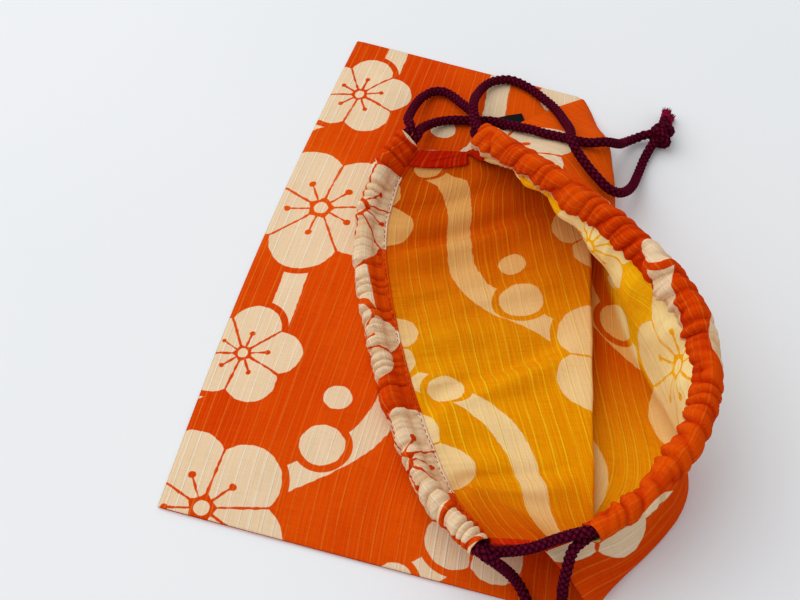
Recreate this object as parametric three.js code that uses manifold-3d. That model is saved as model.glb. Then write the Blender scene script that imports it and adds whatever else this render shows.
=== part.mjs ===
import * as THREE from 'three';
import Module from 'manifold-3d';
import { mergeVertices } from 'three/addons/utils/BufferGeometryUtils.js';

// A drawstring pouch of slub cotton, lying on its back panel, mouth open and front lip folded back.
// Millimetres. x runs from the bottom fold to the mouth, y from the near side seam to the far one, z is up.

// Cut and sewing sizes
const POUCH_WIDTH = 280;
const POUCH_HEIGHT = 252;
const CLOTH = 0.8;
const CASING_WIDTH = 19;
const STITCH_DEPTH = 2.4;
const GATHERS = 22;
const GATHER_DEPTH = 0.8;
const CORD_DIAMETER = 5;
const CORD_EASE = 1.3;
const CORD_CLEARANCE = 0.5;

// How the two panels lie: the front one is folded back along a crease from the near to the far seam
const NEAR_CREASE = 185;
const FAR_CREASE = 124;
const NEAR_DRAW_IN = 3;
const FAR_DRAW_IN = 6;
const BOTTOM_BOW = 4.5;
const LAYER_GAP = 0.08;
const POCKET_RISE = 5.6;
const POCKET_EDGE = 28;
const POCKET_FULLNESS = 1.3;
const SIDE_SHARPNESS = 8;
const CREASE_RADIUS = 1.3;
const RETURN_LEAVE = 0.33;
const RETURN_CLIMB = 0.1;
const RETURN_ARRIVE = 0.3;
const RETURN_DIP = 0.6;
const RIPPLES = 10;
const RIPPLE_DEPTH = 1.6;
const RIPPLE_START = 2.1;
const SEAM_ZONE = 0.13;

// How the back panel rises: a bulge beside the mouth, and a flap that folds over at the far side
const BULGE_REACH = 36;
const BULGE_PLACE = 0.24;
const BULGE_SPREAD = 0.17;
const FLAP_REACH = 11;
const FLAP_REACH_START = 0.2;
const FLAP_REACH_FULL = 0.5;
const FLAP_START = 0.55;
const FLAP_FULL = 0.9;
const FLAP_LIFT = 10;
const FLAP_ARRIVE = 0.25;
const FLAP_STOOP = 0.62;
const BACK_TURN = 15;
const BACK_STIFFNESS = 0.5;

// Mouth: ends of the casings and feet of the slits, as shares of the free height beyond the crease's end
const NEAR_FRONT_EXIT = [-0.724, 0.088, 0.463];
const FAR_FRONT_EXIT = [-0.576, -0.555, 0.195];
const NEAR_BACK_EXIT = [-0.137, 0.275, 0.612];
const FAR_BACK_EXIT = [-0.315, -0.487, 0.211];
const NEAR_SEAM = [[0, 0.015, 0.179], [-0.194, 0.134, 0.269], [-0.363, 0.201, 0.388]];
const FAR_SEAM = [[-0.117, -0.148, 0.063], [-0.205, -0.242, 0.078], [-0.367, -0.461, 0.082]];

// Each lip between its ends: share of the chord, bow from it, and height (the front lip's over its rest)
const FRONT_BOWS = [[0.14, 14, 6], [0.33, 22, 0.4], [0.55, 26.5, 0], [0.77, 25.5, 0.2], [0.92, 14.5, 5]];
const BACK_BOWS = [[0.055, 27, 45], [0.19, 54, 51], [0.36, 61, 56], [0.56, 47.5, 55], [0.78, 23.5, 46]];
const FRONT_LEAN = 6;
const FRONT_LEAN_NEAR = 40;
const FRONT_LEAN_FAR = 34;
const LEAN_NEAR_END = 0.28;
const LEAN_FAR_START = 0.78;
const BACK_LEAN = 66;

// Label tab and knots
const LABEL_LENGTH = 16;
const LABEL_DEPTH = 10;
const LABEL_THICKNESS = 0.7;
const LABEL_CENTRE = [92.1, 242.2];
const LABEL_TURN = 31;
const LABEL_GAP = 0.35;
const KNOT_WRAP_RADIUS = 3.9;
const KNOT_WRAP_SPACING = 4.2;
const KNOT_WRAP_TILT = 22;
const TABLE_GAP = 0.1;
const TAIL_LENGTH = 14;
const TAIL_SPLAY = 9;
const FAR_KNOT = [166.8, 256.6];
const FAR_KNOT_TURN = 86;
const NEAR_KNOT = [240, -28];
const NEAR_KNOT_TURN = 8;

// Free lengths of the drawstrings, as they lie, each from a casing's end outwards
const FAR_FRONT_END = [
  [53.6, 207.4, 23.9],
  [52.8, 213, 20.8],
  [53, 219, 16.4],
  [54.8, 225, 12.8],
  [59, 230.8, 10.2],
  [65.8, 234.2, 9.7],
  [74.6, 236.1, 9.8],
  [83, 237.5, 11],
  [89.6, 236.8, 12],
  [95.8, 234.5, 14.6],
  [104.4, 231.1, 18.9],
  [112.4, 227.9, 22],
  [120.1, 225.9, 24.4],
  [127.6, 223.8, 26.6],
  [134.5, 223.5, 27.6],
  [141.4, 227, 26.6],
  [147.5, 236, 16.9],
  [150, 246.2, 7],
  [154.6, 252.9, 4],
  [160, 255.6, 5.8],
];
const FAR_BACK_END = [
  [80.2, 216.6, 29.6],
  [77.2, 224.8, 28.2],
  [75.2, 231.5, 26.2],
  [73.8, 240, 21.4],
  [73.1, 251, 13.8],
  [74.4, 261.3, 9],
  [78.1, 268.2, 6.6],
  [85.1, 272.4, 5.1],
  [94.8, 269.5, 5.9],
  [105.9, 261.7, 7.8],
  [112.5, 254, 11.6],
  [119.2, 241.1, 19],
  [124, 228.6, 27.5],
  [128.1, 217.8, 33],
  [132.7, 213.1, 32],
  [137.7, 208.4, 30],
  [142.6, 203.5, 29],
  [148.2, 201, 28],
  [155, 205.2, 18.9],
  [157, 213.2, 9.4],
  [159, 220.6, 4],
  [160.2, 228, 2.8],
  [161, 239, 2.8],
  [163.8, 251.7, 4.3],
];
const FAR_BRIDGE = [
  [49.9, 208.9, 27.4],
  [46.9, 214.5, 25],
  [45.5, 222.9, 20],
  [45.2, 234.7, 14.5],
  [46.3, 243.9, 10.3],
  [49.9, 250.2, 8.6],
  [54.7, 251.8, 8.5],
  [59.9, 250, 9],
  [65.3, 245.4, 10.8],
  [69.9, 240.7, 13.6],
  [73.9, 236.1, 16.1],
  [76.9, 230.9, 18],
  [79, 224.5, 20.4],
  [79.6, 218, 22.4],
];
const NEAR_BRIDGE = [
  [140.5, 8.8, 30],
  [145.8, 11, 28],
  [154.9, 14.4, 29.5],
  [163.4, 18.2, 35],
  [168.4, 19.4, 40.2],
];
const NEAR_FRONT_END = [
  [138.6, 4.6, 34.4],
  [143.6, 4.6, 30],
  [147.1, 7, 20],
  [150.8, 7.8, 12.5],
  [154.5, 6.6, 7.4],
  [158, 2.8, 5.4],
  [162, -4.5, 3.2],
  [168, -14.5, 2.8],
  [180, -26, 2.8],
  [200, -33.5, 2.8],
  [220, -34, 2.8],
  [234.1, -31.3, 5.1],
];
const NEAR_BACK_END = [
  [171.6, 17.4, 35.2],
  [170.7, 15, 30.6],
  [170.6, 11, 25],
  [171, 6.8, 16.4],
  [171.6, 6.6, 10],
  [172.4, 3.4, 6.4],
  [174.5, -3, 3.4],
  [179, -11, 2.8],
  [188, -18.5, 2.8],
  [203, -22.5, 2.8],
  [220, -23.2, 2.8],
  [235, -25.2, 5.4],
];

// Grid: q counts along the cloth, 0 to 1 flat, 1 to 2 round the turn, 2 to 3 on to the casing's stitch line
const COLUMNS = 40;
const SLIT_FOOT = 2.55;
const ROWS = [0, 0.012, 0.45, 1, 1.5, 2, 2.2, 2.4, SLIT_FOOT, 2.8, 3];
const CASING_SIDES = 8;
const STATIONS_PER_GATHER = 4;
const CORD_SIDES = 8;
const CORD_STEPS = 80;
const CASING_POINTS = 10;
const KNOT_SEGMENTS = 14;

const UP = new THREE.Vector3(0, 0, 1);
const { clamp, degToRad, inverseLerp, lerp, smoothstep } = THREE.MathUtils;
const vec = (x, y, z) => new THREE.Vector3(x, y, z);

const wasm = await Module();
wasm.setup();

// Flat parts of the panels
const edgeFade = (t) => 1 - Math.abs(2 * t - 1) ** SIDE_SHARPNESS;
const bottomX = (t) => -BOTTOM_BOW * Math.sin(Math.PI * t);
const creaseX = (t) => lerp(NEAR_CREASE, FAR_CREASE, t);
const frontFloor = 1.5 * CLOTH + LAYER_GAP;

function across(t, x) {
  const near = NEAR_DRAW_IN * x / NEAR_CREASE;
  const far = POUCH_WIDTH - FAR_DRAW_IN * x / FAR_CREASE;
  return lerp(near, far, t);
}

function pocketHeight(t, x) {
  const swell = 1 - Math.exp(-((Math.max(x, 0) / POCKET_EDGE) ** POCKET_FULLNESS));
  return frontFloor + POCKET_RISE * edgeFade(t) * swell;
}

function backReach(t) {
  const bulge = BULGE_REACH * Math.exp(-(((t - BULGE_PLACE) / BULGE_SPREAD) ** 2));
  const flap = FLAP_REACH * clamp(inverseLerp(FLAP_REACH_START, FLAP_REACH_FULL, t), 0, 1);
  return edgeFade(t) * (bulge + flap);
}

function flatFront(t, share) {
  const x = lerp(bottomX(t), creaseX(t), share);
  return vec(x, across(t, x), pocketHeight(t, x));
}

function flatBack(t, share) {
  const x = lerp(bottomX(t), creaseX(t) + backReach(t), share);
  return vec(x, across(t, x), CLOTH / 2);
}

// Mouth: each lip is the centre line of its casing, bowed from the chord between its two slits
const casingHalf = CORD_DIAMETER / 2 + CORD_EASE + CLOTH / 2 + GATHER_DEPTH;
const casingReach = CASING_WIDTH / 2 - CLOTH / 2;
const frontRest = frontFloor + POCKET_RISE + CLOTH + casingHalf + GATHER_DEPTH;
const nearCorner = vec(NEAR_CREASE, across(0, NEAR_CREASE), 0);
const farCorner = vec(FAR_CREASE, across(1, FAR_CREASE), 0);
const nearRest = POUCH_HEIGHT - NEAR_CREASE;
const farRest = POUCH_HEIGHT - FAR_CREASE;

function beyond(corner, rest, direction) {
  return vec(...direction).multiplyScalar(rest).add(corner);
}

function lipCurve(nearExit, farExit, bows, rest, side) {
  const near = beyond(nearCorner, nearRest, nearExit);
  const far = beyond(farCorner, farRest, farExit);
  const chord = far.clone().sub(near);
  const away = vec(side * chord.y, -side * chord.x, 0).normalize();
  const points = bows.map(([share, bow, height]) => {
    const point = near.clone().addScaledVector(chord, share).setZ(rest + height);
    return point.addScaledVector(away, bow);
  });
  const curve = new THREE.CatmullRomCurve3([near, ...points, far], false, 'catmullrom', 0.5);
  curve.arcLengthDivisions = 600;
  return curve;
}

function frontLean(t) {
  const near = FRONT_LEAN_NEAR * (1 - smoothstep(t, 0, LEAN_NEAR_END));
  const far = FRONT_LEAN_FAR * smoothstep(t, LEAN_FAR_START, 1);
  return FRONT_LEAN + near + far;
}

const frontLip = {
  side: -1,
  lean: frontLean,
  curve: lipCurve(NEAR_FRONT_EXIT, FAR_FRONT_EXIT, FRONT_BOWS, frontRest, -1),
};

const backLip = {
  side: 1,
  lean: () => BACK_LEAN,
  curve: lipCurve(NEAR_BACK_EXIT, FAR_BACK_EXIT, BACK_BOWS, 0, 1),
};

function lipAway(lip, t) {
  const run = lip.curve.getTangentAt(clamp(t, 0.001, 0.999));
  return vec(lip.side * run.y, -lip.side * run.x, 0).normalize();
}

function casingAxis(lip, t) {
  const lean = degToRad(lip.lean(t));
  return lipAway(lip, t).multiplyScalar(Math.cos(lean)).addScaledVector(UP, Math.sin(lean));
}

function stitchPoint(lip, t) {
  return lip.curve.getPointAt(t).addScaledVector(casingAxis(lip, t), CLOTH - casingReach);
}

// Panels beyond the flat part
function frontTurn(t, q) {
  const crease = flatFront(t, 1);
  const angle = (q - 1.5) * Math.PI;
  return crease.add(vec(CREASE_RADIUS * Math.cos(angle), 0, CREASE_RADIUS * (1 + Math.sin(angle))));
}

function frontReturn(t, share) {
  const start = frontTurn(t, 2);
  const end = stitchPoint(frontLip, t);
  const run = end.clone().sub(start);
  const leave = start.clone().addScaledVector(run, RETURN_LEAVE).setZ(start.z + RETURN_CLIMB * run.z + CLOTH);
  const arrive = end.clone().addScaledVector(lipAway(frontLip, t), -RETURN_ARRIVE * run.length());
  arrive.z -= RETURN_DIP * run.z;
  return new THREE.CubicBezierCurve3(start, leave, arrive, end).getPoint(share);
}

// A hump of height 1 over the stretch 0 to 1, highest a third of the way along
const hump = (share) => 6.75 * share * (1 - share) ** 2;

function backWall(t, share) {
  const foot = flatBack(t, 1);
  const end = stitchPoint(backLip, t);
  const flap = smoothstep(t, FLAP_START, FLAP_FULL);
  const leave = foot.clone().add(vec(BACK_TURN * edgeFade(t), 0, BACK_STIFFNESS * flap * end.z));
  const upright = end.clone().addScaledVector(casingAxis(backLip, t), -BACK_STIFFNESS * end.z);
  const leaning = end.clone().lerp(foot, FLAP_ARRIVE).setZ(FLAP_STOOP * end.z);
  const arrive = upright.lerp(leaning, flap);
  const point = new THREE.CubicBezierCurve3(foot, leave, arrive, end).getPoint(share);
  return point.addScaledVector(UP, FLAP_LIFT * flap * edgeFade(t) * hump(share));
}

function ripple(t, q) {
  const left = clamp(inverseLerp(3, RIPPLE_START, q), 0, 1);
  return RIPPLE_DEPTH * hump(left) * edgeFade(t) * Math.cos(2 * Math.PI * RIPPLES * t);
}

const front = {
  lip: frontLip,
  plain(t, q) {
    if (q <= 1) return flatFront(t, q);
    return q <= 2 ? frontTurn(t, q) : frontReturn(t, q - 2);
  },
  swell: (t, q) => UP.clone().multiplyScalar(ripple(t, q)),
};

const back = {
  lip: backLip,
  plain: (t, q) => (q <= 1 ? flatBack(t, q) : backWall(t, (q - 1) / 2)),
  swell: (t, q) => lipAway(backLip, t).multiplyScalar(ripple(t, q)),
};

// Side seams: flat to the crease corner, then back and up to the foot of the slit, then to each casing's end
function seam(end, corner, rest, shares) {
  return { end, turn: [corner.clone().setZ(CLOTH), ...shares.map((share) => beyond(corner, rest, share))] };
}

const seams = [seam(0, nearCorner, nearRest, NEAR_SEAM), seam(1, farCorner, farRest, FAR_SEAM)];

function seamPoint({ end, turn }, lip, q) {
  if (q <= 1) return flatFront(end, q).setZ(CLOTH);
  if (q <= SLIT_FOOT) {
    return new THREE.CubicBezierCurve3(...turn).getPoint(inverseLerp(1, SLIT_FOOT, q));
  }
  return turn[3].clone().lerp(stitchPoint(lip, end), inverseLerp(SLIT_FOOT, 3, q));
}

function panelPoint(panel, t, q) {
  const point = panel.plain(t, q).add(panel.swell(t, q));
  for (const side of seams) {
    const pull = 1 - smoothstep(Math.abs(t - side.end), 0, SEAM_ZONE);
    const shift = seamPoint(side, panel.lip, q).sub(panel.plain(side.end, q));
    point.addScaledVector(shift, pull);
  }
  return q === 0 ? point.setZ(CLOTH) : point;
}

// Closed solids from a middle surface: both faces, and a rim along every open edge
function surfaceNormals(points, triangles) {
  const normals = points.map(() => vec(0, 0, 0));
  for (const [a, b, c] of triangles) {
    const face = points[b].clone().sub(points[a]).cross(points[c].clone().sub(points[a]));
    for (const corner of [a, b, c]) normals[corner].add(face);
  }
  return normals.map((normal) => normal.normalize());
}

function openEdges(triangles) {
  const edges = new Map();
  for (const [a, b, c] of triangles) {
    for (const [from, to] of [[a, b], [b, c], [c, a]]) {
      if (!edges.delete(`${to},${from}`)) edges.set(`${from},${to}`, [from, to]);
    }
  }
  return [...edges.values()];
}

function thicken(points, triangles, normals, within = () => CLOTH / 2) {
  const count = points.length;
  const outer = points.map((point, i) => point.clone().addScaledVector(normals[i], CLOTH / 2));
  const inner = points.map((point, i) => point.clone().addScaledVector(normals[i], -within(i)));
  const faces = [];
  for (const [a, b, c] of triangles) {
    faces.push(a, b, c, a + count, c + count, b + count);
  }
  for (const [from, to] of openEdges(triangles)) {
    faces.push(to, from, from + count, to, from + count, to + count);
  }
  return solidOf([...outer, ...inner], faces);
}

function solidOf(points, faces) {
  const vertProperties = new Float32Array(points.flatMap((point) => point.toArray()));
  const triVerts = new Uint32Array(faces);
  return new wasm.Manifold(new wasm.Mesh({ numProp: 3, vertProperties, triVerts }));
}

function solidFrom(geometry) {
  const bare = geometry.clone();
  bare.deleteAttribute('normal');
  bare.deleteAttribute('uv');
  const merged = mergeVertices(bare, 1e-4);
  const vertProperties = new Float32Array(merged.attributes.position.array);
  const triVerts = new Uint32Array(merged.index.array);
  return new wasm.Manifold(new wasm.Mesh({ numProp: 3, vertProperties, triVerts }));
}

function geometryOf(solid) {
  const { vertProperties, triVerts } = solid.getMesh();
  const geometry = new THREE.BufferGeometry();
  geometry.setAttribute('position', new THREE.BufferAttribute(new Float32Array(vertProperties), 3));
  geometry.setIndex([...triVerts]);
  geometry.computeVertexNormals();
  return geometry;
}

// Pouch cloth: both panels, joined at the bottom fold and the side seams
function pouchPanels() {
  const points = [];
  const grids = [front, back].map((panel) => ROWS.map((q) => {
    const row = [];
    for (let column = 0; column <= COLUMNS; column += 1) {
      row.push(points.push(panelPoint(panel, column / COLUMNS, q)) - 1);
    }
    return row;
  }));
  const [frontGrid, backGrid] = grids;
  const joined = [];
  ROWS.forEach((q, i) => {
    for (let j = 0; j <= COLUMNS; j += 1) {
      const atSeam = j === 0 || j === COLUMNS;
      if (i !== 0 && !(atSeam && q <= SLIT_FOOT)) continue;
      backGrid[i][j] = frontGrid[i][j];
      joined.push([i, j]);
    }
  });
  const triangles = [];
  for (let i = 0; i < ROWS.length - 1; i += 1) {
    for (let j = 0; j < COLUMNS; j += 1) {
      const corners = (grid) => [grid[i][j], grid[i + 1][j], grid[i + 1][j + 1], grid[i][j + 1]];
      const [a, b, c, d] = corners(frontGrid);
      triangles.push([a, b, c], [a, c, d]);
      const [e, f, g, h] = corners(backGrid);
      triangles.push([e, g, f], [e, h, g]);
    }
  }
  const normals = surfaceNormals(points, triangles);
  for (const [i, j] of joined) {
    const row = Math.max(i, 1);
    const column = clamp(j, 1, COLUMNS - 1);
    const inside = points[frontGrid[row][column]].clone().lerp(points[backGrid[row][column]], 0.5);
    normals[frontGrid[i][j]].copy(points[frontGrid[i][j]]).sub(inside).normalize();
  }
  return thicken(points, triangles, normals);
}

// Drawstring casing: a gathered tunnel along the lip, open at both slits
function casing(lip) {
  const stations = GATHERS * STATIONS_PER_GATHER;
  const points = [];
  const triangles = [];
  for (let k = 0; k <= stations; k += 1) {
    const t = k / stations;
    const axis = casingAxis(lip, t);
    const run = lip.curve.getTangentAt(clamp(t, 0.001, 0.999));
    const normal = run.clone().cross(axis).normalize();
    const gather = GATHER_DEPTH * Math.cos(2 * Math.PI * GATHERS * t);
    for (let side = 0; side < CASING_SIDES; side += 1) {
      const angle = 2 * Math.PI * side / CASING_SIDES;
      const open = (1 + Math.cos(angle)) / 2;
      const point = lip.curve.getPointAt(t);
      point.addScaledVector(axis, casingReach * Math.cos(angle) + gather * open);
      point.addScaledVector(normal, (casingHalf + gather) * Math.sin(angle));
      points.push(point);
    }
  }
  for (let k = 0; k < stations; k += 1) {
    for (let side = 0; side < CASING_SIDES; side += 1) {
      const next = (side + 1) % CASING_SIDES;
      const [a, b] = [k * CASING_SIDES + side, k * CASING_SIDES + next];
      const [c, d] = [a + CASING_SIDES, b + CASING_SIDES];
      triangles.push([a, b, d], [a, d, c]);
    }
  }
  const atStitch = (i) => i % CASING_SIDES === CASING_SIDES / 2;
  const within = (i) => (atStitch(i) ? STITCH_DEPTH : CLOTH / 2);
  return thicken(points, triangles, surfaceNormals(points, triangles), within);
}

function pouchCloth() {
  return geometryOf(pouchPanels().add(casing(frontLip)).add(casing(backLip)));
}

// Label: a flat tab lying on the front panel, its inner edge under the far seam
function labelTab() {
  const tab = new THREE.BoxGeometry(LABEL_LENGTH, LABEL_DEPTH, LABEL_THICKNESS, 4, 3, 1);
  tab.rotateZ(degToRad(LABEL_TURN)).translate(...LABEL_CENTRE, LABEL_THICKNESS / 2);
  const places = tab.attributes.position;
  for (let i = 0; i < places.count; i += 1) {
    const x = places.getX(i);
    const t = (places.getY(i) - across(0, x)) / (across(1, x) - across(0, x));
    places.setZ(i, places.getZ(i) + pocketHeight(t, x) + CLOTH / 2 + LABEL_GAP);
  }
  return tab;
}

// Drawstrings: two cords side by side in both casings, each drawn out at one side and knotted there
const cordOffset = (CORD_DIAMETER + CORD_CLEARANCE) / 2;

function casingRun(lip, side, from, to) {
  const points = [];
  for (let i = 0; i <= CASING_POINTS; i += 1) {
    const t = lerp(from, to, i / CASING_POINTS);
    points.push(lip.curve.getPointAt(t).addScaledVector(casingAxis(lip, t), side * cordOffset));
  }
  return points;
}

function freeLength(places) {
  return places.map((place) => vec(...place));
}

function cord(points) {
  const path = new THREE.CatmullRomCurve3(points, false, 'centripetal');
  path.arcLengthDivisions = 1000;
  const section = new THREE.Shape();
  for (let side = 0; side < CORD_SIDES; side += 1) {
    const angle = 2 * Math.PI * side / CORD_SIDES;
    const corner = new THREE.Vector2(Math.cos(angle), Math.sin(angle)).multiplyScalar(CORD_DIAMETER / 2);
    if (side === 0) section.moveTo(corner.x, corner.y);
    else section.lineTo(corner.x, corner.y);
  }
  return new THREE.ExtrudeGeometry(section, { extrudePath: path, steps: CORD_STEPS });
}

function farDrawstring() {
  return cord([
    ...freeLength(FAR_FRONT_END).reverse(),
    ...casingRun(frontLip, -1, 1, 0),
    ...freeLength(NEAR_BRIDGE),
    ...casingRun(backLip, 1, 0, 1),
    ...freeLength(FAR_BACK_END),
  ]);
}

function nearDrawstring() {
  return cord([
    ...freeLength(NEAR_FRONT_END).reverse(),
    ...casingRun(frontLip, 1, 0, 1),
    ...freeLength(FAR_BRIDGE),
    ...casingRun(backLip, -1, 1, 0),
    ...freeLength(NEAR_BACK_END),
  ]);
}

// Knot: both ends of one drawstring wound round themselves, with two short tails along x
const knotHeight = KNOT_WRAP_RADIUS + CORD_DIAMETER / 2 + TABLE_GAP;

function overhandKnot() {
  let knot = solidFrom(new THREE.SphereGeometry(KNOT_WRAP_RADIUS, KNOT_SEGMENTS, CORD_SIDES));
  for (const side of [-1, 1]) {
    const wrap = new THREE.TorusGeometry(KNOT_WRAP_RADIUS, CORD_DIAMETER / 2, CORD_SIDES, KNOT_SEGMENTS);
    wrap.rotateY(Math.PI / 2).rotateZ(side * degToRad(KNOT_WRAP_TILT));
    wrap.translate(side * KNOT_WRAP_SPACING / 2, 0, 0);
    const length = TAIL_LENGTH + (KNOT_WRAP_SPACING + CORD_DIAMETER) / 2;
    const tail = new THREE.CylinderGeometry(CORD_DIAMETER / 2, CORD_DIAMETER / 2, length, CORD_SIDES);
    tail.translate(0, length / 2, 0).rotateZ(-Math.PI / 2 + side * degToRad(TAIL_SPLAY));
    knot = knot.add(solidFrom(wrap)).add(solidFrom(tail));
  }
  return geometryOf(knot);
}

const materials = {
  cloth: new THREE.MeshStandardMaterial({ color: '#d9560f', roughness: 0.9, metalness: 0 }),
  label: new THREE.MeshStandardMaterial({ color: '#16141a', roughness: 0.8, metalness: 0 }),
  cord: new THREE.MeshStandardMaterial({ color: '#4a0d26', roughness: 0.75, metalness: 0 }),
};

function named(name, geometry, material) {
  const mesh = new THREE.Mesh(geometry, material);
  mesh.name = name;
  return mesh;
}

function placedKnot(name, place, turn) {
  const mesh = named(name, overhandKnot(), materials.cord);
  mesh.position.set(...place, knotHeight);
  mesh.rotation.z = degToRad(turn);
  return mesh;
}

const pouch = new THREE.Group();
const cloth = named('pouch_cloth', pouchCloth(), materials.cloth);
pouch.add(cloth);
pouch.add(named('label_tab', labelTab(), materials.label));
pouch.add(named('far_drawstring', farDrawstring(), materials.cord));
pouch.add(named('near_drawstring', nearDrawstring(), materials.cord));
pouch.add(placedKnot('far_knot', FAR_KNOT, FAR_KNOT_TURN));
pouch.add(placedKnot('near_knot', NEAR_KNOT, NEAR_KNOT_TURN));

// The origin is under the middle of the cloth, on the table
const clothBox = new THREE.Box3().setFromObject(cloth);
const middle = clothBox.getCenter(vec(0, 0, 0));
pouch.position.set(-middle.x, -middle.y, -clothBox.min.z);

export default pouch;
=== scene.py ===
"""A drawstring pouch of printed slub cotton, lying open on its back panel with its front lip folded back.

Shapes are worked out in millimetres in the pouch's own frame: x runs from the bottom fold to the mouth, y
from the near side seam to the far one, and z is up from the table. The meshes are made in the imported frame,
in metres.
"""

from __future__ import annotations

import logging
import math
from abc import ABC, abstractmethod
from dataclasses import dataclass, field
from enum import IntEnum
from typing import Callable, Mapping, Sequence, Union

import bpy
import numpy as np
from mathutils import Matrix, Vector

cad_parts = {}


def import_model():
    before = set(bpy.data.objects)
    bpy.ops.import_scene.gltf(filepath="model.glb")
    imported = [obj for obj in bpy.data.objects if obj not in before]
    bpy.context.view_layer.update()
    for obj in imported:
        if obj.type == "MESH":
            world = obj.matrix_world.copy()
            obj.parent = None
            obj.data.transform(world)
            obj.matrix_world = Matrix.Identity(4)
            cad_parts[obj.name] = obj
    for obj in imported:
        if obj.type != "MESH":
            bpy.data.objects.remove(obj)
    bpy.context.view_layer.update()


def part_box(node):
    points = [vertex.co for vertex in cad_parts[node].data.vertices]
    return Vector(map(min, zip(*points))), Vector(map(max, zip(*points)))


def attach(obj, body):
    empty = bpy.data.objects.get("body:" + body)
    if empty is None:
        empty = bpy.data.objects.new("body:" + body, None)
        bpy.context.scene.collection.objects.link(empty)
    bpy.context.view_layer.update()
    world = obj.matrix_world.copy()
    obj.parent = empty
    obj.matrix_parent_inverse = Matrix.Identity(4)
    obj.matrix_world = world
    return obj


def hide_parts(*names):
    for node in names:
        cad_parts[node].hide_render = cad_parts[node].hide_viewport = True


log = logging.getLogger("pouch")

Array = np.ndarray
Pair = tuple[float, float]
Triple = tuple[float, float, float]
Colour = tuple[float, float, float]

MM = 0.001
UP = np.array([0.0, 0.0, 1.0])
TO_MOUTH = np.array([1.0, 0.0, 0.0])


class End(IntEnum):
    """One of the two side seams."""

    NEAR = 0
    FAR = 1


class ClothFace(IntEnum):
    """The finishes of a panel of cloth, in the order of its materials."""

    PRINTED = 0
    INNER = 1
    HEM = 2


class CordFace(IntEnum):
    """The finishes of a drawstring or its knot, in the order of its materials."""

    BRAIDED = 0
    LOOSE = 1


# Shape helpers


def unit(vectors: Array) -> Array:
    """Vectors of length 1 in the same directions."""
    return vectors / np.maximum(np.linalg.norm(vectors, axis=-1, keepdims=True), 1e-9)


def ease(value: Array, low: float, high: float) -> Array:
    """A smooth step from 0 at low to 1 at high."""
    share = np.clip((np.asarray(value, float) - low) / (high - low), 0.0, 1.0)
    return share * share * (3.0 - 2.0 * share)


def hump(share: Array) -> Array:
    """A hump of height 1 over the stretch 0 to 1, highest a third of the way along."""
    return 27 / 4 * share * (1.0 - share) ** 2


def bezier(a: Array, b: Array, c: Array, d: Array, share: Array) -> Array:
    """Points of cubic curves at a share of their way."""
    s = np.asarray(share, float)[..., None]
    return (1 - s) ** 3 * a + 3 * s * (1 - s) ** 2 * b + 3 * s * s * (1 - s) * c + s**3 * d


def raised(points: Array, height: Array) -> Array:
    """A copy of the points at the given heights."""
    moved = np.array(points, float)
    moved[..., 2] = height
    return moved


def smooth_path(points: Array, spacing: float, steps: int = 24) -> Array:
    """An even line through the points, by centripetal Catmull-Rom.

    Args:
        points: The points that the line passes, one a row.
        spacing: The distance between the returned points.
        steps: Points worked out from one given point to the next, before they are spaced evenly.

    Returns:
        Points along the line, evenly spaced.
    """
    p = np.asarray(points, float)
    ends = np.vstack([2 * p[0] - p[1], p, 2 * p[-1] - p[-2]])
    gaps = np.linalg.norm(np.diff(ends, axis=0), axis=1) ** 0.5
    lines = []
    for i in range(len(p) - 1):
        a, b, c, d = ends[i : i + 4]
        before, here, after = gaps[i : i + 3]
        leave = ((b - a) / before - (c - a) / (before + here) + (c - b) / here) * here
        arrive = ((c - b) / here - (d - b) / (here + after) + (d - c) / after) * here
        w = np.linspace(0, 1, steps, endpoint=i == len(p) - 2)[:, None]
        square, cube = 3 * (c - b) - 2 * leave - arrive, 2 * (b - c) + leave + arrive
        lines.append(b + leave * w + square * w**2 + cube * w**3)
    line = np.vstack(lines)
    along = np.concatenate([[0.0], np.cumsum(np.linalg.norm(np.diff(line, axis=0), axis=1))])
    wanted = np.linspace(0, along[-1], max(2, round(along[-1] / spacing)))
    return np.stack([np.interp(wanted, along, line[:, k]) for k in range(3)], axis=1)


@dataclass(frozen=True)
class Waves:
    """Uneven small waves over a cloth, as a sum of plane waves with fixed directions.

    Attributes:
        shortest: The shortest wavelength, in millimetres.
        longest: The longest wavelength, in millimetres.
        count: How many waves are added up.
        seed: Which set of directions is used.
    """

    shortest: float
    longest: float
    count: int
    seed: int

    def __call__(self, across: Array, along: Array) -> Array:
        """How high the waves are.

        Args:
            across: Places across the flat cloth.
            along: Places along the flat cloth.

        Returns:
            Heights, mostly from -1 to 1.
        """
        chance = np.random.default_rng(self.seed)
        total = np.zeros(np.broadcast(across, along).shape)
        for _ in range(self.count):
            length = self.shortest * (self.longest / self.shortest) ** chance.random()
            turn, phase = chance.random(2) * 2 * math.pi
            place = (across * math.cos(turn) + along * math.sin(turn)) / length
            total += np.sin(2 * math.pi * place + phase)
        return total / math.sqrt(self.count)


# Meshes


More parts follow.
